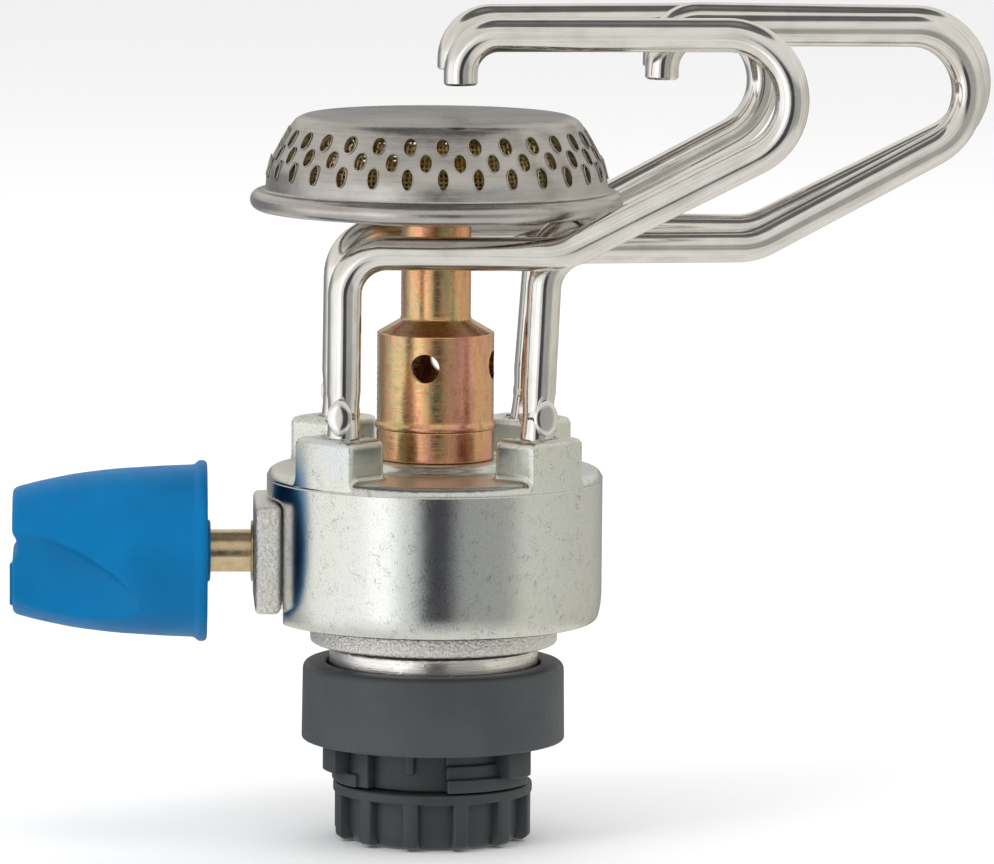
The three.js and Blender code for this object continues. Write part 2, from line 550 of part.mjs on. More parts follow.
/** The fluted nose that enters the cartridge's valve, with ribs left between its recessed panels. */
function couplingNose() {
  const core = turned([
    [NOSE.boreR, 0], [NOSE.footR, 0], [NOSE.floorR, NOSE.foot], [NOSE.floorR, NOSE.ringZ], [NOSE.r, NOSE.ringZ],
    [NOSE.r, NOSE.top], [NOSE.boreR, NOSE.top],
  ]);
  const outer = NOSE.r - RIB.inset;
  const half = RIB.width / 2;
  const ribs = Array.from({ length: RIB.count }, (_, i) =>
    box([outer - RIB.depth, -half, RIB.bottom], [outer, half, NOSE.ringZ + 0.1])
      .rotate([0, 0, RIB.first + i * 360 / RIB.count]));
  return join(core, ...ribs);
}

/** The sliding collar: a smooth ring with a turned-in top lip. */
const collar = () => turned([
  [COLLAR.boreR, COLLAR.bottom], [COLLAR.r, COLLAR.bottom], [COLLAR.r, COLLAR.top - COLLAR.edge],
  ...arc(COLLAR.r - COLLAR.edge, COLLAR.top - COLLAR.edge, COLLAR.edge, 30, 90, 2),
  [COLLAR.mouthR, COLLAR.top], [COLLAR.mouthR, COLLAR.top - COLLAR.lip], [COLLAR.boreR, COLLAR.top - COLLAR.lip],
  [COLLAR.boreR, COLLAR_GROOVE.top], [COLLAR.boreR + COLLAR_GROOVE.depth, COLLAR_GROOVE.top],
  [COLLAR.boreR + COLLAR_GROOVE.depth, COLLAR_GROOVE.bottom], [COLLAR.boreR, COLLAR_GROOVE.bottom],
]);

const collarRing = () =>
  turned(tubeOutline(COLLAR_RING.r, COLLAR_RING.boreR, COLLAR_RING.bottom, COLLAR_RING.top));
const collarSpring = () =>
  turned(tubeOutline(COLLAR_SPRING.r, COLLAR_SPRING.boreR, COLLAR_GROOVE.top, STOP.bottom - GAP));
const couplingClip = () => washer(0, 0, SPIGOT.r, SPIGOT.r - CLIP.depth, CLIP.bottom, CLIP.top, ROUND);

/** The brass tube that opens the cartridge's valve and leads the gas up into the body. */
const inletTube = () => turned([
  [INLET_TUBE.boreR, INLET_TUBE.bottom], [INLET_TUBE.tipR, INLET_TUBE.bottom],
  [INLET_TUBE.r, INLET_TUBE.taperTop], [INLET_TUBE.r, INLET_TUBE.step], [INLET_TUBE.rootR, INLET_TUBE.step],
  [INLET_TUBE.rootR, INLET_TUBE.top], [INLET_TUBE.boreR, INLET_TUBE.top],
], ROUND_SMALL);
const inletSeal = () => washer(0, 0, INLET_SEAL.r, INLET_SEAL.boreR, INLET_SEAL.bottom, INLET_SEAL.top);
const noseSeal = () => washer(0, 0, NOSE_SEAL.r, NOSE_SEAL.boreR, NOSE_SEAL.bottom, NOSE_SEAL.top);

// ---------------------------------------------------------------------------------------------------
// The stove
// ---------------------------------------------------------------------------------------------------

const stove = new THREE.Group();

/** Adds one solid to the stove as a named mesh. */
function add(name, solid, material) {
  const mesh = new THREE.Mesh(toGeometry(solid), material);
  mesh.name = name;
  stove.add(mesh);
  return mesh;
}

add('support_housing', supportHousing(), zincPlated);
add('valve_body', valveBody(), castZinc);
add('jet_holder', jetHolder(), passivated);
add('mixer_tube', mixerTube(), passivated);
add('jet', jet(), brass);
add('jet_washer', jetWasher(), fibre);
add('gas_filter', gasFilter(), brass);
add('burner_pan', burnerPan(), stainlessSheet);
add('burner_rivet_ring', burnerRivetRing(), stainlessSheet);
add('burner_cap', burnerCap(), stainlessSheet);
add('burner_mesh', burnerMesh(), brass);
add('gland_nut', glandNut(), brass);
add('packing_washer', packingWasher(), fibre);
add('spindle', spindle(), brass);
SPINDLE.sealX.forEach((x, i) => add(['spindle_seal_inner', 'spindle_seal_outer'][i], spindleSeal(x), blackRubber));
add('control_knob', controlKnob(), bluePlastic);
add('coupling_body', couplingBody(), greyPlastic);
add('coupling_nose', couplingNose(), greyPlastic);
add('coupling_clip', couplingClip(), springSteel);
add('collar', collar(), greyPlastic);
add('collar_ring', collarRing(), springSteel);
add('collar_spring', collarSpring(), springSteel);
add('inlet_tube', inletTube(), brass);
add('inlet_seal', inletSeal(), blackRubber);
add('nose_seal', noseSeal(), blackRubber);

for (const arm of ARMS) {
  const x = arm.side * LEG.x;
  const y = arm.face * LEG.y;
  const support = add(`pan_support_${arm.name}`, panSupport(arm), stainless);
  support.position.set(x, y, 0);
  support.rotation.z = arm.yaw * DEGREE;
  const shift = ((LEG_WASHER.top + LEG_WASHER.bottom) / 2 - LEG.pivotZ) * Math.tan(arm.lean * DEGREE);
  const retainer = add(`leg_washer_${arm.name}`,
    washer(shift, 0, LEG_WASHER.r, LEG.endR + GAP / 2, LEG_WASHER.bottom, LEG_WASHER.top), springSteel);
  retainer.position.copy(support.position);
  retainer.rotation.copy(support.rotation);
}

export default stove;
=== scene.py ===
"""Looks of an upright camping stove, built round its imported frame.

Lengths in the classes are millimetres. Every piece is shaped in millimetres about the stove's own axis and
is turned into metres by Bench.settle(), so that each object stays at the origin, unturned and unscaled.
"""

from __future__ import annotations

import cmath
import json
import logging
import math
from dataclasses import dataclass, field
from enum import Enum
from typing import Iterable, Sequence

import bmesh
import bpy
from mathutils import Matrix, Vector


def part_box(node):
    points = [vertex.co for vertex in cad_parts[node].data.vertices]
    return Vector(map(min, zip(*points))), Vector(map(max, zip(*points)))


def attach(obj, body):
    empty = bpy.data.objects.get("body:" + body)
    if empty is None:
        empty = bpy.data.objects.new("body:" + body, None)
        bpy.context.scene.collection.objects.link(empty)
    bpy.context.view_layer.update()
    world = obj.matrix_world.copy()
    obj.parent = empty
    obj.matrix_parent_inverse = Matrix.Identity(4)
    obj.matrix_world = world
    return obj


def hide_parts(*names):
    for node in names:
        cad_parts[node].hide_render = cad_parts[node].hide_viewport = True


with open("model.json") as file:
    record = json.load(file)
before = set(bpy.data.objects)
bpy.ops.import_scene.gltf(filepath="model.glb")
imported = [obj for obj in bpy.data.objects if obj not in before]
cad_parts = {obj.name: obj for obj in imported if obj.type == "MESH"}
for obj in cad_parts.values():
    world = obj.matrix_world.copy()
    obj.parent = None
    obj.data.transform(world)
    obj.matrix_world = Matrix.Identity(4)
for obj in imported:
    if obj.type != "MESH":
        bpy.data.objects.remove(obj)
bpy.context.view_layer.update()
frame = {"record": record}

LOG = logging.getLogger("stove")

MM = 0.001
TURN_FACETS = 144
SMALL_FACETS = 72
ON_AXIS = 1e-6
SHARP_ANGLE = math.radians(32)

Outline = list[tuple[float, float]]
Corner = tuple[float, float, float]
Colour = tuple[float, float, float]
Socket = bpy.types.NodeSocket
Piece = bpy.types.Object


class Slot(str, Enum):
    """The record's material slots."""

    ZINC_PLATED = "zinc_plated"
    CAST_ZINC = "cast_zinc"
    PASSIVATED = "passivated_steel"
    WIRE = "stainless_wire"
    SHEET = "stainless_sheet"
    BRASS = "brass"
    BRASS_MESH = "brass_mesh"
    SPRING = "spring_steel"
    BLUE = "blue_plastic"
    GREY = "grey_plastic"
    RUBBER = "black_rubber"
    FIBRE = "fibre"


class Axis(Enum):
    """The line that a turned piece is turned about."""

    STOVE = "stove"
    SPINDLE = "spindle"


class Combine(str, Enum):
    """How a second solid changes a first one."""

    CUT = "DIFFERENCE"
    JOIN = "UNION"
    KEEP_COMMON = "INTERSECT"


# ---- Node trees ----


class ColourGraph:
    """Short calls that put a shader tree together, for a finish or for the studio's surroundings."""

    def __init__(self, tree: bpy.types.NodeTree) -> None:
        """Empties a tree and starts in it.

        Args:
            tree: The tree.
        """
        tree.nodes.clear()
        self.nodes = tree.nodes
        self.links = tree.links

    def put(self, node: bpy.types.Node, name: str | int, value: object) -> None:
        """Links a socket into a node's input, or sets the input's value.

        Args:
            node: The node to feed.
            name: The input's name or number.
            value: A socket or a plain value.
        """
        if isinstance(value, Socket):
            self.links.new(value, node.inputs[name])
        else:
            node.inputs[name].default_value = value

    def math(self, operation: str, first: object, second: object = 0.0) -> Socket:
        """The result of a mathematical operation on two values.

        Args:
            operation: The operation's name.
            first: A socket or a number.
            second: A socket or a number.

        Returns:
            The result's socket.
        """
        node = self.nodes.new("ShaderNodeMath")
        node.operation = operation
        self.put(node, 0, first)
        self.put(node, 1, second)
        return node.outputs["Value"]

    def ramp(self, value: Socket, stops: Sequence[tuple[float, Colour]]) -> Socket:
        """A colour read off a scale of colours.

        Args:
            value: The place on the scale.
            stops: Places on the scale, each with its colour.

        Returns:
            The colour's socket.
        """
        node = self.nodes.new("ShaderNodeValToRGB")
        self.links.new(value, node.inputs["Fac"])
        elements = node.color_ramp.elements
        while len(elements) < len(stops):
            elements.new(0.5)
        for element, (position, colour) in zip(elements, stops):
            element.position = position
            element.color = (*colour, 1)
        return node.outputs["Color"]

    def blend(self, factor: object, first: object, second: object, mode: str = "MIX") -> Socket:
        """Two colours mixed by a factor.

        Args:
            factor: How far the second acts on the first.
            first: A socket or a colour.
            second: A socket or a colour.
            mode: How the two are mixed.

        Returns:
            The mixed colour's socket.
        """
        node = self.nodes.new("ShaderNodeMix")
        node.data_type = "RGBA"
        node.blend_type = mode
        colours = [socket for socket in node.inputs if socket.type == "RGBA"]
        self.put(node, "Factor", factor)
        for socket, colour in zip(colours, (first, second)):
            if isinstance(colour, Socket):
                self.links.new(colour, socket)
            else:
                socket.default_value = (*colour, 1)
        return next(socket for socket in node.outputs if socket.type == "RGBA")


class SurfaceGraph(ColourGraph):
    """A finish's node tree. Its places are millimetres."""

    def __init__(self, name: str) -> None:
        """Starts a material with a bare shader.

        Args:
            name: The material's name.
        """
        self.material = bpy.data.materials.new(name)
        self.material.use_nodes = True
        super().__init__(self.material.node_tree)
        self.shader = self.nodes.new("ShaderNodeBsdfPrincipled")
        output = self.nodes.new("ShaderNodeOutputMaterial")
        self.links.new(self.shader.outputs["BSDF"], output.inputs["Surface"])
        self.place = self.nodes.new("ShaderNodeTexCoord").outputs["Object"]

    def constant(self, **values: float) -> None:
        """Sets the shader's own sockets, with _ for a space in a socket's name."""
        for name, value in values.items():
            title = name.replace("_", " ").title().replace("Ior", "IOR")
            self.shader.inputs[title].default_value = value

    def wire(self, name: str, source: Socket) -> None:
        """Links a value that varies over the surface to one of the shader's sockets."""
        self.links.new(source, self.shader.inputs[name])

    def stretched(self, stretch: float | Colour = 1.0, source: Socket | None = None) -> Socket:
        """The place on the piece in millimetres, stretched.

        Args:
            stretch: How many pattern units a millimetre holds, along each axis or along all three.
            source: A vector to stretch instead, which is left in its own units.

        Returns:
            The stretched vector.
        """
        shares = stretch if isinstance(stretch, tuple) else (stretch,) * 3
        mapping = self.nodes.new("ShaderNodeMapping")
        self.links.new(source or self.place, mapping.inputs["Vector"])
        unit = 1 if source else 1 / MM
        mapping.inputs["Scale"].default_value = [unit * share for share in shares]
        return mapping.outputs["Vector"]

    def pattern(self, kind: str, stretch: float | Colour, source: Socket | None = None,
                **values: float) -> bpy.types.Node:
        """A pattern one unit in size, over the stretched place.

        Args:
            kind: The pattern, such as Noise or Voronoi.
            stretch: As for stretched().
            source: As for stretched().
            **values: The pattern's other inputs.

        Returns:
            The pattern's node.
        """
        node = self.nodes.new(f"ShaderNodeTex{kind}")
        self.links.new(self.stretched(stretch, source), node.inputs["Vector"])
        for name, value in {"scale": 1, **values}.items():
            node.inputs[name.title()].default_value = value
        return node

    def noise(self, stretch: float | Colour, detail: float = 3, roughness: float = 0.5,
              distortion: float = 0, source: Socket | None = None) -> Socket:
        """Soft noise, from about 0 to 1, over the stretched place."""
        return self.pattern("Noise", stretch, source, detail=detail, roughness=roughness,
                            distortion=distortion).outputs["Fac"]

    def cells(self, stretch: float | Colour) -> Socket:
        """Distance from the nearest of scattered points, one to a unit."""
        return self.pattern("Voronoi", stretch).outputs["Distance"]

    def upright(self, vector: Socket) -> Socket:
        """The Z part of a vector.

        Args:
            vector: The vector's socket.

        Returns:
            Its Z part.
        """
        split = self.nodes.new("ShaderNodeSeparateXYZ")
        self.links.new(vector, split.inputs["Vector"])
        return split.outputs["Z"]

    def height(self) -> Socket:
        """The height on the stove in millimetres."""
        return self.upright(self.stretched())

    def upward(self) -> Socket:
        """How far the surface faces up, from -1 to 1, in the piece's own directions."""
        return self.upright(self.nodes.new("ShaderNodeTexCoord").outputs["Normal"])

    def rescale(self, value: Socket, low: float, high: float, to_low: float = 0.0,
                to_high: float = 1.0) -> Socket:
        """A value from one range, held inside another.

        Args:
            value: The value's socket.
            low: The start of its range.
            high: The end of its range.
            to_low: What the start becomes.
            to_high: What the end becomes.

        Returns:
            The new value's socket.
        """
        node = self.nodes.new("ShaderNodeMapRange")
        self.links.new(value, node.inputs["Value"])
        for name, number in (("From Min", low), ("From Max", high), ("To Min", to_low), ("To Max", to_high)):
            node.inputs[name].default_value = number
        return node.outputs["Result"]

    def bump(self, relief: Socket, depth: float,
             under: Socket | None = None) -> Socket:
        """A relief as a change of the surface's slope.

        Args:
            relief: The relief's height, from 0 to 1.
            depth: How high 1 is, in millimetres.
            under: A bumped normal that this relief lies on.

        Returns:
            The bumped normal.
        """
        node = self.nodes.new("ShaderNodeBump")
        self.links.new(relief, node.inputs["Height"])
        node.inputs["Distance"].default_value = depth * MM
        if under is not None:
            self.links.new(under, node.inputs["Normal"])
        return node.outputs["Normal"]


class GeometryGraph:
    """A Geometry Nodes tree, put together by short calls, that ends in Set Material."""

    def __init__(self, name: str, takes_mesh: bool = True) -> None:
        """Starts a tree.

        Args:
            name: The tree's name.
            takes_mesh: Whether it works on the mesh of its own object.
        """
        self.tree = bpy.data.node_groups.new(name, "GeometryNodeTree")
        self.interface = self.tree.interface
        self.interface.new_socket(name="Geometry", in_out="OUTPUT", socket_type="NodeSocketGeometry")
        if takes_mesh:
            self.interface.new_socket(name="Geometry", in_out="INPUT", socket_type="NodeSocketGeometry")
        self.identifiers: dict[str, str] = {}
        self.entry = self.tree.nodes.new("NodeGroupInput")

    def size(self, name: str, kind: str = "Float") -> Socket:
        """A named input of the tree.

        Args:
            name: The input's name.
            kind: The input's kind, such as Float, Int, Object or Material.

        Returns:
            The socket that gives the input's value.
        """
        item = self.interface.new_socket(name=name, in_out="INPUT", socket_type=f"NodeSocket{kind}")
        self.identifiers[name] = item.identifier
        return self.entry.outputs[name]

    def node(self, kind: str, inputs: dict[str | int, object] | None = None, **settings: object
             ) -> bpy.types.Node:
        """Adds a node.

        Args:
            kind: The node's type, without its GeometryNode prefix where it has one.
            inputs: What its inputs are linked from or set to.
            **settings: The node's own properties.

        Returns:
            The node.
        """
        full = kind if kind.startswith(("Shader", "Function")) else f"GeometryNode{kind}"
        node = self.tree.nodes.new(full)
        for name, value in settings.items():
            setattr(node, name, value)
        for name, value in (inputs or {}).items():
            if isinstance(value, Socket):
                self.tree.links.new(value, node.inputs[name])
            else:
                node.inputs[name].default_value = value
        return node

    def math(self, operation: str, first: object, second: object = 0.0) -> Socket:
        """The result of a mathematical operation on two values."""
        return self.node("ShaderNodeMath", {0: first, 1: second}, operation=operation).outputs[0]

    def vector(self, x: object = 0.0, y: object = 0.0, z: object = 0.0) -> Socket:
        """Three values as a vector."""
        return self.node("ShaderNodeCombineXYZ", {"X": x, "Y": y, "Z": z}).outputs[0]

    def end(self, geometry: Socket, finish: Socket) -> None:
        """Realises the instances, gives them the finish, and ends the tree.

        Args:
            geometry: The geometry's socket.
            finish: The material's socket.
        """
        real = self.node("RealizeInstances", {"Geometry": geometry})
        dressed = self.node("SetMaterial", {"Geometry": real.outputs[0], "Material": finish})
        self.tree.links.new(dressed.outputs[0], self.tree.nodes.new("NodeGroupOutput").inputs["Geometry"])

    def grow(self, name: str, values: dict[str, object], base: bpy.types.Mesh | None = None
             ) -> Piece:
        """Runs the tree and keeps its result as a plain mesh.

        Args:
            name: The new object's name.
            values: The tree's inputs, by their names.
            base: The mesh that the tree works on, if it takes one.

        Returns:
            The new object, with no modifier left on it.
        """
        host = new_object(name, base or bpy.data.meshes.new(name))
        modifier = host.modifiers.new("grown", "NODES")
        modifier.node_group = self.tree
        for key, value in values.items():
            modifier[self.identifiers[key]] = value
        bake_modifiers(host)
        return host


# ---- Mesh work ----


def new_object(name: str, mesh: bpy.types.Mesh) -> Piece:
    """Makes an object of a mesh and links it to the scene.

    Args:
        name: The object's name.
        mesh: Its mesh.

    Returns:
        The object.
    """
    made = bpy.data.objects.new(name, mesh)
    bpy.context.scene.collection.objects.link(made)
    return made


def from_bmesh(name: str, shape: bmesh.types.BMesh) -> Piece:
    """Makes an object of a shape, with its faces pointing out, and frees the shape.

    Args:
        name: The object's name.
        shape: The shape, which can't be used again.

    Returns:
        The object.
    """
    bmesh.ops.recalc_face_normals(shape, faces=shape.faces)
    mesh = bpy.data.meshes.new(name)
    shape.to_mesh(mesh)
    shape.free()
    return new_object(name, mesh)


def bake_modifiers(made: Piece) -> None:
    """Turns what an object's modifiers show into its own mesh, and removes the modifiers.

    Args:
        made: The object to change.
    """
    depsgraph = bpy.context.evaluated_depsgraph_get()
    mesh = bpy.data.meshes.new_from_object(made.evaluated_get(depsgraph))
    made.modifiers.clear()
    made.data = mesh


def shade(made: Piece, angle: float = SHARP_ANGLE) -> None:
    """Smooths an object's faces and keeps the edges that are sharper than an angle."""
    made.data.shade_smooth()
    made.data.set_sharp_from_angle(angle=angle)


def rounded(corners: Sequence[Corner], steps: int = 4) -> Outline:
    """Rounds the corners of a closed outline.

    Args:
        corners: The corners as (radius, height, length taken off each side of the corner).
        steps: How many straight steps a rounded corner has.

    Returns:
        The rounded outline's points.
    """
    points: Outline = []
    for index, (radius, height, taken) in enumerate(corners):
        at = Vector((radius, height))
        if taken <= 0:
            points.append((radius, height))
            continue
        before = Vector(corners[index - 1][:2]) - at
        after = Vector(corners[(index + 1) % len(corners)][:2]) - at
        start = at + before.normalized() * min(taken, before.length * 0.49)
        end = at + after.normalized() * min(taken, after.length * 0.49)
        for step in range(steps + 1):
            share = step / steps
            point = start.lerp(at, share).lerp(at.lerp(end, share), share)
            points.append((point.x, point.y))
    return points


def ring_corners(inner: float, outer: float, bottom: float, top: float, edge: float,
                 inner_edge: float | None = None) -> tuple[Corner, ...]:
    """The corners of a ring's section, with its inner edges rounded less where inner_edge is given."""
    bore_edge = edge if inner_edge is None else inner_edge
    return ((inner, bottom, bore_edge), (outer, bottom, edge), (outer, top, edge), (inner, top, bore_edge))


def turn(outline: Sequence[tuple[float, float]], facets: int = TURN_FACETS) -> bmesh.types.BMesh:
    """Turns a closed outline of (radius, height) points about Z.

    Args:
        outline: The outline's points, in order.
        facets: How many facets the piece has round it.

    Returns:
        The closed shape.
    """
    shape = bmesh.new()
    angles = [2 * math.pi * step / facets for step in range(facets)]
    rings = []
    for radius, height in outline:
        if radius < ON_AXIS:
            rings.append([shape.verts.new((0, 0, height))] * facets)
        else:
            rings.append([shape.verts.new((radius * math.cos(angle), radius * math.sin(angle), height))
                          for angle in angles])
    for lower, upper in zip(rings, rings[1:] + rings[:1]):
        for step in range(facets):
            after = (step + 1) % facets
            face = list(dict.fromkeys([lower[step], lower[after], upper[after], upper[step]]))
            if len(face) > 2:
                shape.faces.new(face)
    return shape


def loft(rings: Sequence[Sequence[Vector]]) -> bmesh.types.BMesh:
    """Joins closed rings of points into a solid with flat ends.

    Args:
        rings: Rings with as many points each, in order.

    Returns:
        The solid.
    """
    shape = bmesh.new()
    loops = [[shape.verts.new(point) for point in ring] for ring in rings]
    count = len(loops[0])
    for lower, upper in zip(loops, loops[1:]):
        for step in range(count):
            after = (step + 1) % count
            shape.faces.new([lower[step], lower[after], upper[after], upper[step]])
    shape.faces.new(loops[0])
    shape.faces.new(loops[-1])
    return shape


def block(low: Sequence[float], high: Sequence[float]) -> Piece:
    """A plain block between two corners, used to shape other pieces.

    Args:
        low: The lowest corner.
        high: The highest corner.

    Returns:
        The block.
    """
    shape = bmesh.new()
    bmesh.ops.create_cube(shape, size=1)
    size = [high[axis] - low[axis] for axis in range(3)]
    middle = [(high[axis] + low[axis]) / 2 for axis in range(3)]
    shape.transform(Matrix.Translation(middle) @ Matrix.Diagonal((*size, 1)))
    return from_bmesh("block", shape)


def rod(radius: float, start: Vector, end: Vector, facets: int = SMALL_FACETS) -> Piece:
    """A round rod between two points, used to shape other pieces.

    Args:
        radius: Its radius.
        start: The middle of one end.
        end: The middle of the other.
        facets: How many sides it has.

    Returns:
        The rod.
    """
    shape = turn([(0, 0), (radius, 0), (radius, (end - start).length), (0, (end - start).length)], facets)
    turned = Vector((0, 0, 1)).rotation_difference(end - start).to_matrix().to_4x4()
    shape.transform(Matrix.Translation(start) @ turned)
    return from_bmesh("rod", shape)


def combine(made: Piece, tools: Iterable[Piece], how: Combine) -> None:
    """Cuts or joins solids, and removes the tools.

    Args:
        made: The solid to change.
        tools: The solids used on it.
        how: What the tools do to it.
    """
    used = list(tools)
    for tool in used:
        modifier = made.modifiers.new("combine", "BOOLEAN")
        modifier.operation = how.value
        modifier.solver = "MANIFOLD"
        modifier.object = tool
    bake_modifiers(made)
    for tool in used:
        bpy.data.objects.remove(tool)


def soften(made: Piece, grain: float, passes: int) -> None:
    """Gives a solid the rounded edges and corners of a casting or moulding.

    Args:
        made: The solid.
        grain: The size of the new mesh's faces, in millimetres.
        passes: How often the surface is smoothed.
    """
    remesh = made.modifiers.new("remesh", "REMESH")
    remesh.mode = "VOXEL"
    remesh.voxel_size = grain
    smooth = made.modifiers.new("smooth", "SMOOTH")
    smooth.factor = 0.5
    smooth.iterations = passes
    bake_modifiers(made)


def bevel(made: Piece, width: float, segments: int = 2) -> None:
    """Rounds a solid's sharp edges.

    Args:
        made: The solid to change.
        width: How far the rounding reaches.
        segments: How many steps it has.
    """
    modifier = made.modifiers.new("bevel", "BEVEL")
    modifier.width = width
    modifier.segments = segments
    modifier.limit_method = "ANGLE"
    modifier.angle_limit = SHARP_ANGLE
    modifier.use_clamp_overlap = True
    bake_modifiers(made)


def joined(name: str, parts: Sequence[Piece]) -> Piece:
    """Puts several meshes into one object, and removes the parts.

    Args:
        name: The object's name.
        parts: The objects to join.

    Returns:
        The new object.
    """
    shape = bmesh.new()
    for part in parts:
        shape.from_mesh(part.data)
    mesh = bpy.data.meshes.new(name)
    shape.to_mesh(mesh)
    shape.free()
    for part in parts:
        bpy.data.objects.remove(part)
    return new_object(name, mesh)


def spindle_place(spindle_height: float) -> Matrix:
    """Turns a piece from the stove's axis to the spindle's, so that its height runs along X."""
    return Matrix.Translation((0, 0, spindle_height)) @ Matrix.Rotation(math.pi / 2, 4, "Y")


# ---- Finishes ----


@dataclass(frozen=True)
class PlatedZinc:
    """Bright zinc plating on the die-cast drum, with specks, hairlines and a parting line."""

    parting_height: float
    bluish: Colour = (0.66, 0.69, 0.71)
    plain: Colour = (0.70, 0.71, 0.69)
    yellowish: Colour = (0.70, 0.70, 0.63)

    def dress(self) -> bpy.types.Material:
        """Makes the material.

        Returns:
            The material.
        """
        graph = SurfaceGraph("bright_zinc_plating")
        graph.constant(metallic=1.0)
        clouds = graph.noise((0.045, 0.03, 0.03), 2)
        tint = graph.ramp(clouds, [(0.4, self.plain), (0.55, self.yellowish), (0.68, self.bluish)])
        specks = graph.rescale(graph.noise(3.4, 4, 0.7), 0.36, 0.52, 0.86, 1.0)
        hair = graph.noise((0.62, 0.62, 0.5), 4, 0.55, 2.8)
        line = graph.math("ABSOLUTE", graph.math("SUBTRACT", hair, 0.5))
        patches = graph.rescale(graph.noise(0.6, 3), 0.53, 0.6)
        hairline = graph.math("MULTIPLY", graph.rescale(line, 0.004, 0.022, 1.0, 0.0), patches)
        seam_distance = graph.math("ABSOLUTE", graph.math("SUBTRACT", graph.height(), self.parting_height))
        seam = graph.rescale(seam_distance, 0.05, 0.22, 1.0, 0.0)
        speckled = graph.blend(1.0, tint, specks, "MULTIPLY")
        marked = graph.blend(graph.math("MULTIPLY", hairline, 0.8), speckled, (0.2, 0.2, 0.19))
        graph.wire("Base Color", graph.blend(graph.math("MULTIPLY", seam, 0.35), marked, (0.25, 0.26, 0.26)))
        rough = graph.noise(0.35, 4, 0.6)
        top_roughness = graph.rescale(graph.upward(), 0.75, 0.97, 0.0, 0.2)
        graph.wire("Roughness", graph.math("ADD", graph.rescale(rough, 0.3, 0.7, 0.11, 0.17), top_roughness))
        grain = graph.bump(graph.noise(6.0, 3, 0.7), 0.0115)
        waves = graph.bump(graph.noise(0.22, 2), 0.018, grain)
        scratched = graph.bump(graph.math("SUBTRACT", 1.0, hairline), 0.0012, waves)
        graph.wire("Normal", graph.bump(graph.math("SUBTRACT", 1.0, seam), 0.08, scratched))
        return graph.material


@dataclass(frozen=True)
class SandCast:
    """Sandy cast zinc, turned bright on the neck between two heights."""

    turned_from: float
    turned_to: float
    dark: Colour = (0.70, 0.68, 0.65)
    light: Colour = (0.97, 0.95, 0.92)

    def dress(self) -> bpy.types.Material:
        """Makes the material.

        Returns:
            The material.
        """
        graph = SurfaceGraph("sandy_cast_zinc")
        graph.constant(metallic=1.0)
        height = graph.height()
        above = graph.rescale(height, self.turned_from - 0.2, self.turned_from + 0.2)
        below = graph.rescale(height, self.turned_to - 0.15, self.turned_to, 1.0, 0.0)
        ragged = graph.noise(1.2, 3)
        turned = graph.math("MULTIPLY", graph.math("MULTIPLY", above, below),
                            graph.rescale(ragged, 0.3, 0.4, 0.9, 1.0))
        sand = graph.noise(2.6, 4, 0.65)
        sandy = graph.ramp(sand, [(0.38, self.dark), (0.62, self.light)])
        streaks = graph.noise((0.25, 0.25, 2.2), 4, 0.6)
        bright = graph.ramp(streaks, [(0.3, (0.72, 0.68, 0.64)), (0.7, (0.93, 0.89, 0.85))])
        graph.wire("Base Color", graph.blend(turned, sandy, bright))
        graph.wire("Roughness", graph.rescale(turned, 0.0, 1.0, 0.46, 0.24))
        rough_part = graph.math("SUBTRACT", 1.0, turned)
        pits = graph.cells(2.0)
        pitted = graph.math("ADD", sand, graph.math("MULTIPLY", pits, 0.5))
        relief = graph.math("MULTIPLY", pitted, rough_part)
        lines = graph.math("MULTIPLY", graph.noise((0.06, 0.06, 6.0), 3), turned)
        graph.wire("Normal", graph.bump(lines, 0.02, graph.bump(relief, 0.22)))
        return graph.material


@dataclass(frozen=True)
class YellowPassivate:
    """Yellow chromate on turned steel: gold that runs to pink and green, over fine turning lines."""

    pink: Colour = (0.80, 0.39, 0.29)
    amber: Colour = (0.77, 0.40, 0.18)
    gold: Colour = (0.72, 0.48, 0.25)
    green: Colour = (0.52, 0.46, 0.22)

    def dress(self) -> bpy.types.Material:
        """Makes the material.

        Returns:
            The material.
        """
        graph = SurfaceGraph("yellow_passivate")
        graph.constant(metallic=1.0)
        drift = graph.noise((0.24, 0.24, 0.05), 3, 0.55, 0.6)
        banding = graph.noise((0.02, 0.02, 1.6), 4, 0.7)
        film = graph.math("ADD", graph.math("MULTIPLY", drift, 0.72), graph.math("MULTIPLY", banding, 0.28))
        colour = graph.ramp(film, [(0.40, self.pink), (0.46, self.amber), (0.52, self.gold),
                                   (0.57, self.green), (0.62, self.pink)])
        stains = graph.rescale(graph.noise((1.1, 1.1, 0.5), 5, 0.7), 0.3, 0.5, 0.7, 1.0)
        graph.wire("Base Color", graph.blend(1.0, colour, stains, "MULTIPLY"))
        graph.wire("Roughness", graph.rescale(graph.noise((0.8, 0.8, 2), 3), 0.3, 0.7,
                                              0.16, 0.3))
        lines = graph.bump(graph.noise((0.04, 0.04, 5.0), 3, 0.7), 0.03)
        graph.wire("Normal", graph.bump(graph.noise(2.5, 3), 0.006, lines))
        return graph.material


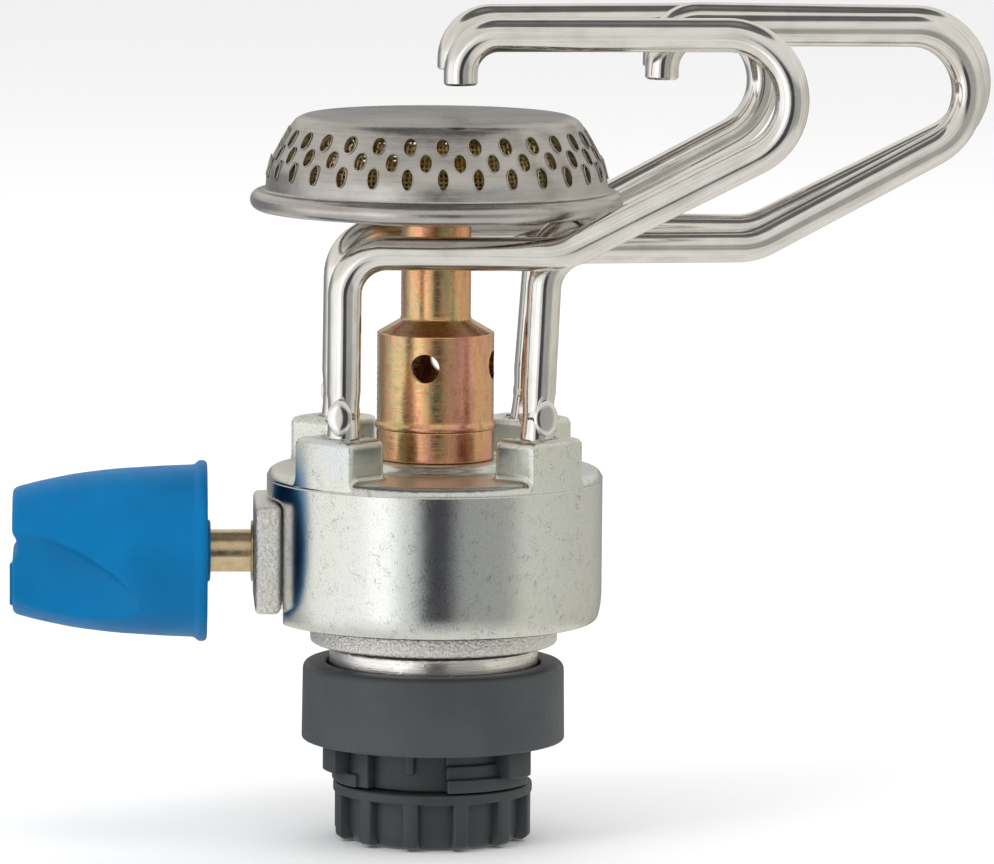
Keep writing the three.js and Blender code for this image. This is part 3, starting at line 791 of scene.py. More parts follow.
@dataclass(frozen=True)
class DrawnWire:
    """Bright drawn stainless wire, with fine lines along it. Reads the wire's own 'drawn' attribute."""

    dark: Colour = (0.60, 0.575, 0.54)
    light: Colour = (0.80, 0.775, 0.74)

    def dress(self) -> bpy.types.Material:
        """Makes the material.

        Returns:
            The material.
        """
        graph = SurfaceGraph("bright_drawn_wire")
        graph.constant(metallic=1.0)
        along = graph.nodes.new("ShaderNodeAttribute")
        along.attribute_name = "drawn"
        place = along.outputs["Vector"]
        streaks = graph.noise((0.035, 3.2, 3.2), 4, 0.65, source=place)
        clouds = graph.noise((0.22, 0.5, 0.5), 3, source=place)
        graph.wire("Base Color", graph.ramp(graph.math("ADD", graph.math("MULTIPLY", streaks, 0.6),
                                                       graph.math("MULTIPLY", clouds, 0.4)),
                                            [(0.35, self.dark), (0.55, self.light)]))
        graph.wire("Roughness", graph.rescale(clouds, 0.35, 0.65, 0.05, 0.12))
        lines = graph.bump(streaks, 0.008)
        speckle = graph.noise(4.0, 3, 0.6)
        graph.wire("Normal", graph.bump(speckle, 0.003, lines))
        return graph.material


@dataclass(frozen=True)
class SpunSheet:
    """Satin stainless sheet, spun and pressed, with fine rings, and painted darker where it faces up, as
    painted shade.
    """

    name: str = "satin_stainless_sheet"
    dull: Colour = (0.40, 0.37, 0.345)
    light: Colour = (0.55, 0.525, 0.50)
    # The near-black colour of the painted shade on the faces that face up.
    up_facing_shade: Colour = (0.09, 0.09, 0.085)

    def dress(self) -> bpy.types.Material:
        """Makes the material.

        Returns:
            The material.
        """
        graph = SurfaceGraph(self.name)
        graph.constant(metallic=1.0)
        clouds = graph.noise((0.12, 0.12, 0.25), 4, 0.6)
        rings = graph.noise((0.03, 0.03, 3.5), 3, 0.6)
        mix = graph.math("ADD", graph.math("MULTIPLY", clouds, 0.7), graph.math("MULTIPLY", rings, 0.3))
        sheet = graph.ramp(mix, [(0.36, self.dull), (0.6, self.light)])
        # Painted shade: the faces that face up are darkened towards a near-black colour.
        painted_shade_mask = graph.rescale(graph.upward(), 0.9, 0.985)
        painted_shade_colour = graph.ramp(mix, [(0.36, self.up_facing_shade), (0.75, self.dull)])
        graph.wire("Base Color", graph.blend(painted_shade_mask, sheet, painted_shade_colour))
        graph.wire("Roughness", graph.rescale(clouds, 0.3, 0.7, 0.2, 0.33))
        ringed = graph.bump(rings, 0.008)
        dents = graph.bump(graph.noise(0.35, 2), 0.06, ringed)
        graph.wire("Normal", graph.bump(graph.noise(6.0, 3), 0.004, dents))
        return graph.material


@dataclass(frozen=True)
class TurnedMetal:
    """Metal turned on a lathe, with fine lines round its axis."""

    name: str
    dark: Colour
    light: Colour
    roughness: tuple[float, float]
    axis: Axis = Axis.STOVE

    def dress(self) -> bpy.types.Material:
        """Makes the material.

        Returns:
            The material.
        """
        graph = SurfaceGraph(self.name)
        graph.constant(metallic=1.0)
        fine, faint = 5.0, 0.05
        stretch = (fine, faint, faint) if self.axis is Axis.SPINDLE else (faint, faint, fine)
        lines = graph.noise(stretch, 3, 0.65)
        stains = graph.noise(0.5, 5, 0.65)
        graph.wire("Base Color", graph.ramp(stains, [(0.34, self.dark), (0.6, self.light)]))
        graph.wire("Roughness", graph.rescale(stains, 0.3, 0.7, *self.roughness))
        graph.wire("Normal", graph.bump(graph.noise(3.0, 2), 0.004,
                                        graph.bump(lines, 0.012)))
        return graph.material


@dataclass(frozen=True)
class MouldedPlastic:
    """Moulded plastic with a fine leathery skin, slow clouds of shade and a few scuffs."""

    name: str
    shade: Colour
    lit: Colour
    roughness: tuple[float, float]
    skin: float
    shine: float = 0.5

    def dress(self) -> bpy.types.Material:
        """Makes the material.

        Returns:
            The material.
        """
        graph = SurfaceGraph(self.name)
        graph.constant(ior=1.49, specular_ior_level=self.shine)
        clouds = graph.noise(0.09, 3)
        graph.wire("Base Color", graph.ramp(clouds, [(0.35, self.shade), (0.65, self.lit)]))
        scuffs = graph.noise((0.25, 1.6, 1.6), 4, 0.6)
        graph.wire("Roughness", graph.rescale(scuffs, 0.3, 0.7, *self.roughness))
        skin = graph.bump(graph.noise(3.2, 3, 0.55), self.skin)
        graph.wire("Normal", graph.bump(graph.noise(0.18, 2), 0.06, skin))
        return graph.material


@dataclass(frozen=True)
class SoftSeal:
    """Rubber or pressed fibre: matt, with a fine grain."""

    name: str
    shade: Colour
    lit: Colour

    def dress(self) -> bpy.types.Material:
        """Makes the material.

        Returns:
            The material.
        """
        graph = SurfaceGraph(self.name)
        grain = graph.noise(2.2, 4, 0.6)
        graph.wire("Base Color", graph.ramp(grain, [(0.35, self.shade), (0.65, self.lit)]))
        graph.wire("Roughness", graph.rescale(grain, 0.3, 0.7, 0.55, 0.8))
        graph.wire("Normal", graph.bump(grain, 0.03))
        return graph.material


class Finishes:
    """Every finish of the stove, made once."""

    def __init__(self, parting_height: float, neck: tuple[float, float]) -> None:
        """Makes the materials.

        Args:
            parting_height: The height of the drum's parting line.
            neck: The lowest and highest height of the turned neck.
        """
        brass_dark, brass_light = (0.52, 0.39, 0.22), (0.70, 0.56, 0.36)
        self.materials = {
            Slot.ZINC_PLATED: PlatedZinc(parting_height).dress(),
            Slot.CAST_ZINC: SandCast(*neck).dress(),
            Slot.PASSIVATED: YellowPassivate().dress(),
            Slot.WIRE: DrawnWire().dress(),
            Slot.SHEET: SpunSheet().dress(),
            Slot.BRASS: TurnedMetal("turned_brass", brass_dark, brass_light, (0.2, 0.34),
                                    Axis.SPINDLE).dress(),
            # The woven strip's brass is painted much lighter than the spindle's brass: painted light that
            # makes up for the shade inside the cap.
            Slot.BRASS_MESH: TurnedMetal("woven_brass_painted_light", (0.86, 0.62, 0.26), (0.98, 0.80, 0.42),
                                         (0.4, 0.55)).dress(),
            Slot.SPRING: TurnedMetal("spring_steel", (0.36, 0.36, 0.37), (0.6, 0.6, 0.61),
                                     (0.2, 0.3)).dress(),
            Slot.BLUE: MouldedPlastic("blue_knob_plastic", (0.0, 0.128, 0.322), (0.0, 0.155, 0.380),
                                      (0.32, 0.46), 0.006, 0.11).dress(),
            Slot.GREY: MouldedPlastic("grey_collar_plastic", (0.046, 0.052, 0.057), (0.058, 0.065, 0.071),
                                      (0.4, 0.56), 0.012, 0.4).dress(),
            Slot.RUBBER: SoftSeal("black_rubber", (0.012, 0.012, 0.012), (0.03, 0.03, 0.03)).dress(),
            Slot.FIBRE: SoftSeal("pressed_fibre", (0.16, 0.035, 0.02), (0.30, 0.07, 0.04)).dress(),
        }
        # A darker copy of the grey plastic for the hub and the nose, low on the stove: painted shade standing
        # in for the shade that falls there.
        self.grey_with_painted_shade = MouldedPlastic("grey_plastic_painted_shade", (0.029, 0.034, 0.037),
                                          (0.038, 0.044, 0.048), (0.38, 0.52), 0.012, 0.4).dress()

    def __getitem__(self, slot: Slot) -> bpy.types.Material:
        """The material of a slot."""
        return self.materials[slot]


# ---- Pieces and bodies ----


class Bench:
    """Where finished pieces are dressed, turned into metres and put on their bodies."""

    def __init__(self, finishes: Finishes) -> None:
        """Reads which body each node of the frame is on.

        Args:
            finishes: The stove's finishes.
        """
        self.finishes = finishes
        bodies = frame["record"]["behaviour"]["bodies"]
        self.body_of = {node: body for body, nodes in bodies.items() for node in nodes}
        self.count = 0

    def settle(self, made: Piece, slot: Slot, node: str, sharp: float = SHARP_ANGLE,
               extra: bool = False, finish: bpy.types.Material | None = None) -> None:
        """Finishes a piece and puts it on the body of the node that it stands for.

        Args:
            made: The piece, shaped in millimetres.
            slot: The record's slot for its finish.
            node: The node that it stands for, or that it sits on.
            sharp: The angle past which its edges stay sharp.
            extra: Whether the piece is an extra one, so that it replaces no node.
            finish: A material of its own, in place of the slot's.
        """
        made.data.transform(Matrix.Diagonal((MM, MM, MM, 1)))
        shade(made, sharp)
        made.data.materials.clear()
        made.data.materials.append(finish or self.finishes[slot])
        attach(made, self.body_of[node])
        if not extra:
            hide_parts(node)
        self.count += 1
        LOG.info("%s: %d faces on %s", made.name, len(made.data.polygons), self.body_of[node])

    def settle_turned(self, name: str, corners: Sequence[Corner], slot: Slot, node: str, steps: int = 4,
                      facets: int = TURN_FACETS) -> None:
        """Turns a piece about the stove's axis from the corners of its section, and settles it."""
        self.settle(from_bmesh(name, turn(rounded(corners, steps), facets)), slot, node)


# ---- Geometry Nodes trees ----


def wire_tree() -> GeometryGraph:
    """A round wire along a line of points, whose 'girth' attribute makes it thinner in places.

    Returns:
        The tree, whose result carries the 'drawn' attribute: length along, and the way round as a vector.
    """
    graph = GeometryGraph("round_wire")
    radius = graph.size("Radius")
    sides = graph.size("Sides", "Int")
    finish = graph.size("Finish", "Material")
    line = graph.node("MeshToCurve", {"Mesh": graph.entry.outputs["Geometry"]})
    along = graph.node("CaptureAttribute", {"Geometry": line.outputs[0]})
    along.capture_items.new("FLOAT", "along")
    graph.tree.links.new(graph.node("SplineParameter").outputs["Length"], along.inputs["along"])
    circle = graph.node("CurvePrimitiveCircle", {"Resolution": sides, "Radius": radius})
    way = graph.node("CaptureAttribute", {"Geometry": circle.outputs["Curve"]})
    way.capture_items.new("VECTOR", "way")
    graph.tree.links.new(graph.node("InputPosition").outputs[0], way.inputs["way"])
    girth = graph.node("InputNamedAttribute", {"Name": "girth"}, data_type="FLOAT")
    swept = graph.node("CurveToMesh", {"Curve": along.outputs["Geometry"], "Scale": girth.outputs[0],
                                       "Profile Curve": way.outputs["Geometry"], "Fill Caps": True})
    split = graph.node("ShaderNodeSeparateXYZ", {"Vector": way.outputs["way"]})
    drawn = graph.vector(along.outputs["along"], split.outputs["X"], split.outputs["Y"])
    stored = graph.node("StoreNamedAttribute", {"Geometry": swept.outputs[0], "Name": "drawn"},
                        data_type="FLOAT_VECTOR", domain="POINT")
    value = next(socket for socket in stored.inputs if socket.name == "Value" and socket.enabled)
    graph.tree.links.new(drawn, value)
    graph.end(stored.outputs[0], finish)
    return graph


def ring_tree() -> GeometryGraph:
    """Copies of a part set evenly round the stove's axis.

    Returns:
        The tree. A part that is drawn about the origin is moved out to Radius and Height and tipped back by
        Tip; one that is drawn in its place has all three at 0.
    """
    graph = GeometryGraph("round_the_axis", takes_mesh=False)
    part = graph.size("Part", "Object")
    count = graph.size("Count", "Int")
    first = graph.size("First angle")
    radius = graph.size("Radius")
    height = graph.size("Height")
    tip = graph.size("Tip")
    spread = graph.size("Scale", "Vector")
    finish = graph.size("Finish", "Material")
    index = graph.node("InputIndex").outputs[0]
    step = graph.math("DIVIDE", 2 * math.pi, count)
    angle = graph.math("ADD", first, graph.math("MULTIPLY", index, step))
    place = graph.vector(graph.math("MULTIPLY", graph.math("COSINE", angle), radius),
                         graph.math("MULTIPLY", graph.math("SINE", angle), radius), height)
    points = graph.node("Points", {"Count": count, "Position": place})
    source = graph.node("ObjectInfo", {"Object": part})
    turned = graph.node("FunctionNodeEulerToRotation", {0: graph.vector(0.0, tip, angle)})
    copies = graph.node("InstanceOnPoints", {"Points": points.outputs[0], "Scale": spread,
                                             "Instance": source.outputs["Geometry"],
                                             "Rotation": turned.outputs[0]})
    graph.end(copies.outputs[0], finish)
    return graph


def punch_tree(rings: GeometryGraph) -> GeometryGraph:
    """A shell with a row of holes punched through it round the stove's axis.

    Args:
        rings: The tree that sets a part round the axis, used for the punches.

    Returns:
        The tree, whose inputs are those of the punches.
    """
    graph = GeometryGraph("punched_row")
    punches = graph.node("Group", node_tree=rings.tree)
    kinds = {"Part": "Object", "Count": "Int", "Scale": "Vector", "Finish": "Material"}
    for name in rings.identifiers:
        graph.tree.links.new(graph.size(name, kinds.get(name, "Float")), punches.inputs[name])
    meshes = {"Mesh 1": graph.entry.outputs["Geometry"], "Mesh 2": punches.outputs[0]}
    cut = graph.node("MeshBoolean", meshes, operation="DIFFERENCE", solver="MANIFOLD")
    graph.end(cut.outputs[0], graph.entry.outputs["Finish"])
    return graph


def coil_tree() -> GeometryGraph:
    """A coil of round wire about the stove's axis.

    Returns:
        The tree.
    """
    graph = GeometryGraph("coil", takes_mesh=False)
    turns = graph.size("Turns")
    radius = graph.size("Radius")
    height = graph.size("Height")
    wire = graph.size("Wire radius")
    finish = graph.size("Finish", "Material")
    spiral = graph.node("CurveSpiral", {"Resolution": SMALL_FACETS, "Rotations": turns, "Height": height,
                                        "Start Radius": radius, "End Radius": radius})
    circle = graph.node("CurvePrimitiveCircle", {"Resolution": 12, "Radius": wire})
    swept = graph.node("CurveToMesh", {"Curve": spiral.outputs[0], "Profile Curve": circle.outputs["Curve"],
                                       "Fill Caps": True})
    graph.end(swept.outputs[0], finish)
    return graph


class Trees:
    """The stove's Geometry Nodes trees, made once."""

    def __init__(self) -> None:
        """Makes the trees."""
        self.wire = wire_tree()
        self.ring = ring_tree()
        self.punch = punch_tree(self.ring)
        self.coil = coil_tree()

    def set_round(self, name: str, part: Piece, count: int, first: float,
                  finish: bpy.types.Material) -> Piece:
        """Sets copies of a part that is drawn in its place evenly round the axis, and removes the part.

        Args:
            name: The name of the copies' object.
            part: The part.
            count: How many copies there are.
            first: The first copy's turn in radians.
            finish: The copies' material.

        Returns:
            The copies as one object.
        """
        copies = self.ring.grow(name, {
            "Part": part, "Count": count, "First angle": first, "Radius": 0.0, "Height": 0.0, "Tip": 0.0,
            "Scale": (1, 1, 1), "Finish": finish,
        })
        bpy.data.objects.remove(part)
        return copies


def line_mesh(name: str, points: Sequence[Vector], girths: Sequence[float] | None = None,
              closed: bool = False) -> bpy.types.Mesh:
    """A mesh of edges through points, with a 'girth' for each, for a wire to follow.

    Args:
        name: The mesh's name.
        points: The points in order.
        girths: A girth for each point, or 1 at all of them.
        closed: Whether the last point joins the first.

    Returns:
        The mesh.
    """
    mesh = bpy.data.meshes.new(name)
    edges = [(index, index + 1) for index in range(len(points) - 1)]
    if closed:
        edges.append((len(points) - 1, 0))
    mesh.from_pydata(points, edges, [])
    girth = mesh.attributes.new("girth", "FLOAT", "POINT")
    girth.data.foreach_set("value", list(girths or [1.0] * len(points)))
    return mesh


# ---- Pan supports ----


@dataclass(frozen=True)
class ArmShape:
    """What the four bent-wire pan supports share."""

    wire: float = 2.5
    leg_x: float = 14.2
    leg_y: float = 14.6
    pivot: float = 57.0
    foot: float = 50.4
    step: float = 52.2
    step_girth: float = 0.72
    run: float = 90.6
    height: float = 32.2
    slope: float = 26.7
    knee: float = 11.0
    shoulder: float = 6.4
    loop: float = 9.4
    tip: float = 5.8
    loop_x: float = 56.8
    tip_x: float = 17.4
    tip_drop: float = 7.4
    ear_bottom: float = 62.9
    ear_height: float = 5.6
    ear_reach: float = 4.3


@dataclass
class PanSupport:
    """One of the four wire arms that a pan stands on, with its pinched ears and its washer.

    yaw is where the arm points, lean how far its leg leans along it, sag how far its upper part tips down
    and lift how much higher it is bent than the others.
    """

    name: str
    side: int
    face: int
    yaw: float
    lean: float
    sag: float
    lift: float
    shape: ArmShape = field(default_factory=ArmShape)
    washer_radius: float = 3.6
    sides: int = 28

    def on_leg(self, height: float) -> complex:
        """The leg's centre at a height, in the arm's own plane."""
        return complex((height - self.shape.pivot) * math.tan(math.radians(self.lean)), height)

    @staticmethod
    def bend(before: complex, at: complex, after: complex, radius: float, steps: int) -> list[complex]:
        """Points of a rounded corner.

        Args:
            before: A point before the corner.
            at: The corner.
            after: A point after the corner.
            radius: The radius of the bend.
            steps: How many steps the bend has.

        Returns:
            The bend's points.
        """
        back = (before - at) / abs(before - at)
        ahead = (after - at) / abs(after - at)
        half = math.acos((back * ahead.conjugate()).real) / 2
        middle = (back + ahead) / abs(back + ahead)
        centre = at + middle * radius / math.sin(half)
        first = at + back * radius / math.tan(half) - centre
        last = at + ahead * radius / math.tan(half) - centre
        turned = cmath.phase(last / first)
        return [centre + first * cmath.rect(1, turned * step / steps) for step in range(steps + 1)]

    def centre_line(self) -> tuple[list[complex], list[float]]:
        """The wire's centre line in the arm's own plane.

        Returns:
            The line's points, and the girth at each.
        """
        shape = self.shape
        leg_top = self.on_leg(shape.run + self.lift)
        tilt = cmath.rect(1, math.radians(-self.sag))
        rise = math.radians(shape.slope)
        loop_centre = complex(shape.loop_x, shape.height - shape.loop)
        loop_start = loop_centre + cmath.rect(shape.loop, rise - math.pi / 2)
        knee = leg_top + (loop_start.real - loop_start.imag / math.tan(rise)) * tilt
        loop_steps = 28
        loop = [leg_top + tilt * (loop_centre + cmath.rect(shape.loop, rise - math.pi / 2
                                                           + (math.pi - rise) * step / loop_steps))
                for step in range(loop_steps + 1)]
        tip_top = leg_top + tilt * complex(shape.tip_x, shape.height)
        tip_end = leg_top + tilt * complex(shape.tip_x, shape.height - shape.tip_drop)
        chamfer = 0.35
        small = shape.step_girth
        foot = [(shape.foot, small * 0.8), (shape.foot + chamfer, small), (shape.step - 0.02, small),
                (shape.step, 0.9), (shape.step + chamfer, 1.0)]
        ear_middle = shape.ear_bottom + shape.ear_height / 2
        pinch = [(ear_middle + shape.ear_height * share, girth)
                 for share, girth in ((-0.62, 1.0), (-0.4, 0.95), (0.0, 0.9), (0.4, 0.95), (0.62, 1.0))]
        heights = foot + pinch
        line = [self.on_leg(height) for height, _ in heights]
        girths = [girth for _, girth in heights]
        down = (tip_end - tip_top) / abs(tip_end - tip_top)
        upper = [
            *self.bend(line[-1], leg_top, knee, shape.shoulder, 14),
            *self.bend(leg_top, knee, loop[0], shape.knee, 10),
            *loop,
            *self.bend(loop[-1], tip_top, tip_end, shape.tip, 14),
            tip_end - down * chamfer,
        ]
        return line + upper + [tip_end], girths + [1.0] * len(upper) + [0.86]

    def place(self) -> Matrix:
        """Where the arm's own plane stands on the stove."""
        foot = Vector((self.side * self.shape.leg_x, self.face * self.shape.leg_y, 0))
        return Matrix.Translation(foot) @ Matrix.Rotation(math.radians(self.yaw), 4, "Z")

    def ears(self) -> Piece:
        """The two wings that are pinched out of the wire, with a scoop between each and the wire.

        Returns:
            The wings as one piece.
        """
        shape = self.shape
        middle = self.on_leg(shape.ear_bottom + shape.ear_height / 2)
        stations = [(0.0, 2.35, 3.3), (0.3, 1.95, 3.0), (0.48, 1.2, 2.75), (0.62, 0.95, 2.65),
                    (0.74, 1.15, 2.68), (0.84, 1.75, 2.78), (0.9, 1.85, 2.8), (0.945, 1.66, 2.6),
                    (0.975, 1.3, 2.15), (0.993, 0.8, 1.4), (1.0, 0.35, 0.6)]
        reach = [(-share, width, height) for share, width, height in reversed(stations[1:])] + stations
        around = 40
        rings = []
        for share, width, height in reach:
            ring = []
            for step in range(around):
                angle = 2 * math.pi * step / around
                across = math.cos(angle)
                lens = math.copysign(abs(across) ** 1.35, across)
                ring.append(Vector((middle.real + width * lens, share * shape.ear_reach,
                                    middle.imag + height * math.sin(angle))))
            rings.append(ring)
        return from_bmesh("ears", loft(rings))

    def build(self, bench: Bench, trees: Trees) -> None:
        """Builds the arm and its washer.

        Args:
            bench: Takes the finished pieces.
            trees: The shared trees.
        """
        line, girths = self.centre_line()
        points = [Vector((point.real, 0, point.imag)) for point in line]
        name = f"wire_arm_{self.name}"
        node = f"pan_support_{self.name}"
        wire = trees.wire.grow(name + "_wire", {
            "Radius": self.shape.wire, "Sides": self.sides, "Finish": bench.finishes[Slot.WIRE],
        }, line_mesh(name, points, girths))
        arm = joined(name, [wire, self.ears()])
        arm.data.transform(self.place())
        bench.settle(arm, Slot.WIRE, node, math.radians(38))
        self.build_washer(bench)

    def build_washer(self, bench: Bench) -> None:
        """Builds the washer that the leg's stepped foot is riveted over.

        Args:
            bench: Takes the finished pieces.
        """
        node = f"leg_washer_{self.name}"
        low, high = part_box(node)
        bottom, top = low.z / MM, high.z / MM
        inner = self.shape.wire * self.shape.step_girth
        outline = rounded(ring_corners(inner, self.washer_radius, bottom, top, 0.15, 0.1), 2)
        washer = from_bmesh(f"foot_washer_{self.name}", turn(outline, SMALL_FACETS))
        lean = self.on_leg((bottom + top) / 2).real
        washer.data.transform(self.place() @ Matrix.Translation((lean, 0, 0)))
        bench.settle(washer, Slot.SPRING, node)


# ---- Drum and valve body ----


@dataclass
class Drum:
    """The plated die-cast drum, with its flat side, raised pad and four leg bosses."""

    radius: float = 25.2
    foot_radius: float = 24.7
    bottom: float = 33.3
    top: float = 56.2
    wall: float = 1.9
    roof: float = 3.6
    pad_radius: float = 11.0
    pad_top: float = 57.6
    boss_width: float = 11.0
    boss_inner: float = 16.7
    boss_top: float = 62.4
    flat_x: float = -22.9
    flat_top: float = 51.8
    bore: float = 7.3
    leg_hole: float = 3.0
    pocket: float = 4.0
    groove: float = 0.55
    slot_x: float = -15.0
    slot_half: float = 7.5
    slot_top: float = 50.5
    parting_height: float = 54.75
    grain: float = 0.4

    def shell(self) -> Piece:
        """The turned cup with its pad.

        Returns:
            The cup.
        """
        inner = self.radius - self.wall
        ceiling = self.top - self.roof
        outline = rounded([
            (inner - 0.4, self.bottom, 0.4),
            (self.foot_radius, self.bottom, 1.9),
            (self.radius, self.bottom + 3.4, 0.8),
            (self.radius, self.top, 1.7),
            (self.pad_radius + 0.8, self.top, 0.5),
            (self.pad_radius, self.pad_top, 0.4),
            (self.bore, self.pad_top, 0.3),
            (self.bore, ceiling, 0.3),
            (inner, ceiling, 1.2),
        ], 6)
        return from_bmesh("zinc_drum", turn(outline))

    def boss(self, angle: float) -> Piece:
        """One leg boss: a block whose outer face runs flush with the drum, grooved across its top.

        Args:
            angle: Its place round the axis, in degrees.

        Returns:
            The boss.
        """
        half = self.boss_width / 2
        outer = self.radius + 2
        boss = block((self.boss_inner, -half, self.top - 2.5), (outer, half, self.boss_top))
        bevel(boss, 0.9, 4)
        middle = Vector((self.radius - 3.1, 0, self.boss_top + 0.2))
        across = Vector((0, half + 1, 0))
        groove = rod(self.groove, middle - across, middle + across)
        combine(boss, [groove], Combine.CUT)
        boss.data.transform(Matrix.Rotation(math.radians(angle), 4, "Z"))
        return boss

    def outside(self) -> Piece:
        """The plain cylinder that the bosses are trimmed to.

        Returns:
            The cylinder.
        """
        outline = rounded([(0, self.bottom, 0), (self.radius, self.bottom, 0),
                           (self.radius, self.boss_top, 0.7), (0, self.boss_top, 0)], 4)
        return from_bmesh("outside", turn(outline))

    def openings(self, shape: ArmShape) -> list[Piece]:
        """The leg holes with their pockets, the flat side and the slot behind it.

        Args:
            shape: The arms' sizes.

        Returns:
            The solids to cut away.
        """
        ceiling = self.top - self.roof
        tools = []
        for side in (-1, 1):
            for face in (-1, 1):
                foot = Vector((side * shape.leg_x, face * shape.leg_y, 0))
                up = Vector((0, 0, 1))
                tools.append(rod(self.leg_hole, foot + up * (ceiling - 1), foot + up * (self.boss_top + 1)))
                tools.append(rod(self.pocket, foot + up * (self.bottom + 1), foot + up * ceiling))
        beyond = -self.radius - 5
        tools.append(block((beyond, -15, self.bottom - 1), (self.flat_x, 15, self.flat_top)))
        tools.append(block((beyond, -self.slot_half, self.bottom - 1),
                           (self.slot_x, self.slot_half, self.slot_top)))
        return tools

    def true_up(self, made: Piece) -> None:
        """Puts the points of the outer wall back on the exact cylinder after smoothing.

        Args:
            made: The drum.
        """
        for vertex in made.data.vertices:
            place = vertex.co
            radius = math.hypot(place.x, place.y)
            if abs(radius - self.radius) < 0.12 and self.bottom + 4 < place.z < self.boss_top - 1.2:
                place.xy *= self.radius / radius

    def build(self, bench: Bench, arms: ArmShape) -> None:
        """Builds the drum.

        Args:
            bench: Takes the finished pieces.
            arms: The arms' sizes.
        """
        drum = self.shell()
        bosses = [self.boss(angle) for angle in (45, 135, 225, 315)]
        for boss in bosses:
            combine(boss, [self.outside()], Combine.KEEP_COMMON)
        combine(drum, bosses, Combine.JOIN)
        combine(drum, self.openings(arms), Combine.CUT)
        soften(drum, self.grain, 4)
        self.true_up(drum)
        bench.settle(drum, Slot.ZINC_PLATED, "support_housing", math.radians(60))


@dataclass
class ValveBody:
    """The rough inner casting: spigot, neck, flange and the side block that carries the spindle."""

    spigot_radius: float = 11.4
    spigot_bottom: float = 11.6
    neck_radius: float = 15.7
    neck_bottom: float = 20.6
    stop_radius: float = 18.2
    stop_bottom: float = 22.8
    stop_top: float = 24.6
    flange_radius: float = 18.6
    flange_bottom: float = 29.7
    flange_top: float = 33.0
    body_radius: float = 16.3
    body_top: float = 52.2
    block_outer: float = -27.1
    block_inner: float = -23.2
    block_width: float = 21.0
    block_height: float = 16.3
    block_middle: float = 43.35
    spindle_height: float = 43.5
    groove_depth: float = 0.9
    groove_heights: tuple[float, float] = (12.2, 13.6)
    spindle_bore: float = 3.5
    gland_well: float = 4.5
    holder_well: float = 7.0
    valve_well: float = 4.6
    gas_way: float = 1.0
    inlet_way: float = 1.2
    grain: float = 0.4

    def core(self) -> Piece:
        """The turned part of the casting.

        Returns:
            The turned solid.
        """
        outline = rounded([
            (0, self.spigot_bottom, 0),
            (self.spigot_radius, self.spigot_bottom, 0.4),
            (self.spigot_radius, self.neck_bottom, 0.2),
            (self.neck_radius, self.neck_bottom, 0.2),
            (self.neck_radius, self.stop_bottom, 0.2),
            (self.stop_radius, self.stop_bottom, 0.3),
            (self.stop_radius, self.stop_top, 0.3),
            (self.neck_radius, self.stop_top, 0.2),
            (self.neck_radius, self.flange_bottom, 0.3),
            (self.flange_radius, self.flange_bottom + 0.1, 0.5),
            (self.flange_radius, self.flange_top, 0.3),
            (self.body_radius, self.flange_top + 0.5, 0.2),
            (self.body_radius, self.body_top, 0.4),
            (0, self.body_top, 0),
        ])
        return from_bmesh("valve_casting", turn(outline))

    def side_block(self) -> Piece:
        """The block outside the drum's flat side.

        Returns:
            The block.
        """
        half_width = self.block_width / 2
        half_height = self.block_height / 2
        side = block((self.block_outer, -half_width, self.block_middle - half_height),
                     (self.block_inner, half_width, self.block_middle + half_height))
        bevel(side, 0.7, 3)
        return side

    def bores(self) -> list[Piece]:
        """The bores for the spindle, the gland, the jet and the gas, and the clip's groove.

        Returns:
            The solids to cut away.
        """
        along = Vector((0, 0, self.spindle_height))
        up = Vector((0, 0, 1))
        right = Vector((1, 0, 0))
        fine = 24
        groove = from_bmesh("groove", turn(rounded(ring_corners(
            self.spigot_radius - self.groove_depth, self.spigot_radius + 1, *self.groove_heights, 0))))
        return [
            rod(self.spindle_bore, along - right * 20.4, along - right * 6),
            rod(self.gas_way, along - right * 7, along, fine),
            rod(self.gland_well, along - right * 29, along - right * 18),
            rod(self.holder_well, up * 48.6, up * (self.body_top + 1)),
            rod(self.gas_way, up * self.spindle_height, up * 50, fine),
            rod(self.valve_well, up * (self.spigot_bottom - 1), up * 24),
            rod(self.inlet_way, up * 23, up * self.spindle_height, fine),
            groove,
        ]

    def build(self, bench: Bench) -> None:
        """Builds the casting.

        Args:
            bench: Takes the finished pieces.
        """
        casting = self.core()
        arm = block((self.block_inner - 1, -7, 36.6), (-8, 7, 50.1))
        combine(casting, [arm, self.side_block()], Combine.JOIN)
        combine(casting, self.bores(), Combine.CUT)
        soften(casting, self.grain, 3)
        bench.settle(casting, Slot.CAST_ZINC, "valve_body", math.radians(60))


# ---- Burner ----


@dataclass(frozen=True)
class HoleRow:
    """One row of slanted oval flame holes."""

    height: float
    radius: float
    width: float
    length: float
    slope: float
    shift: float


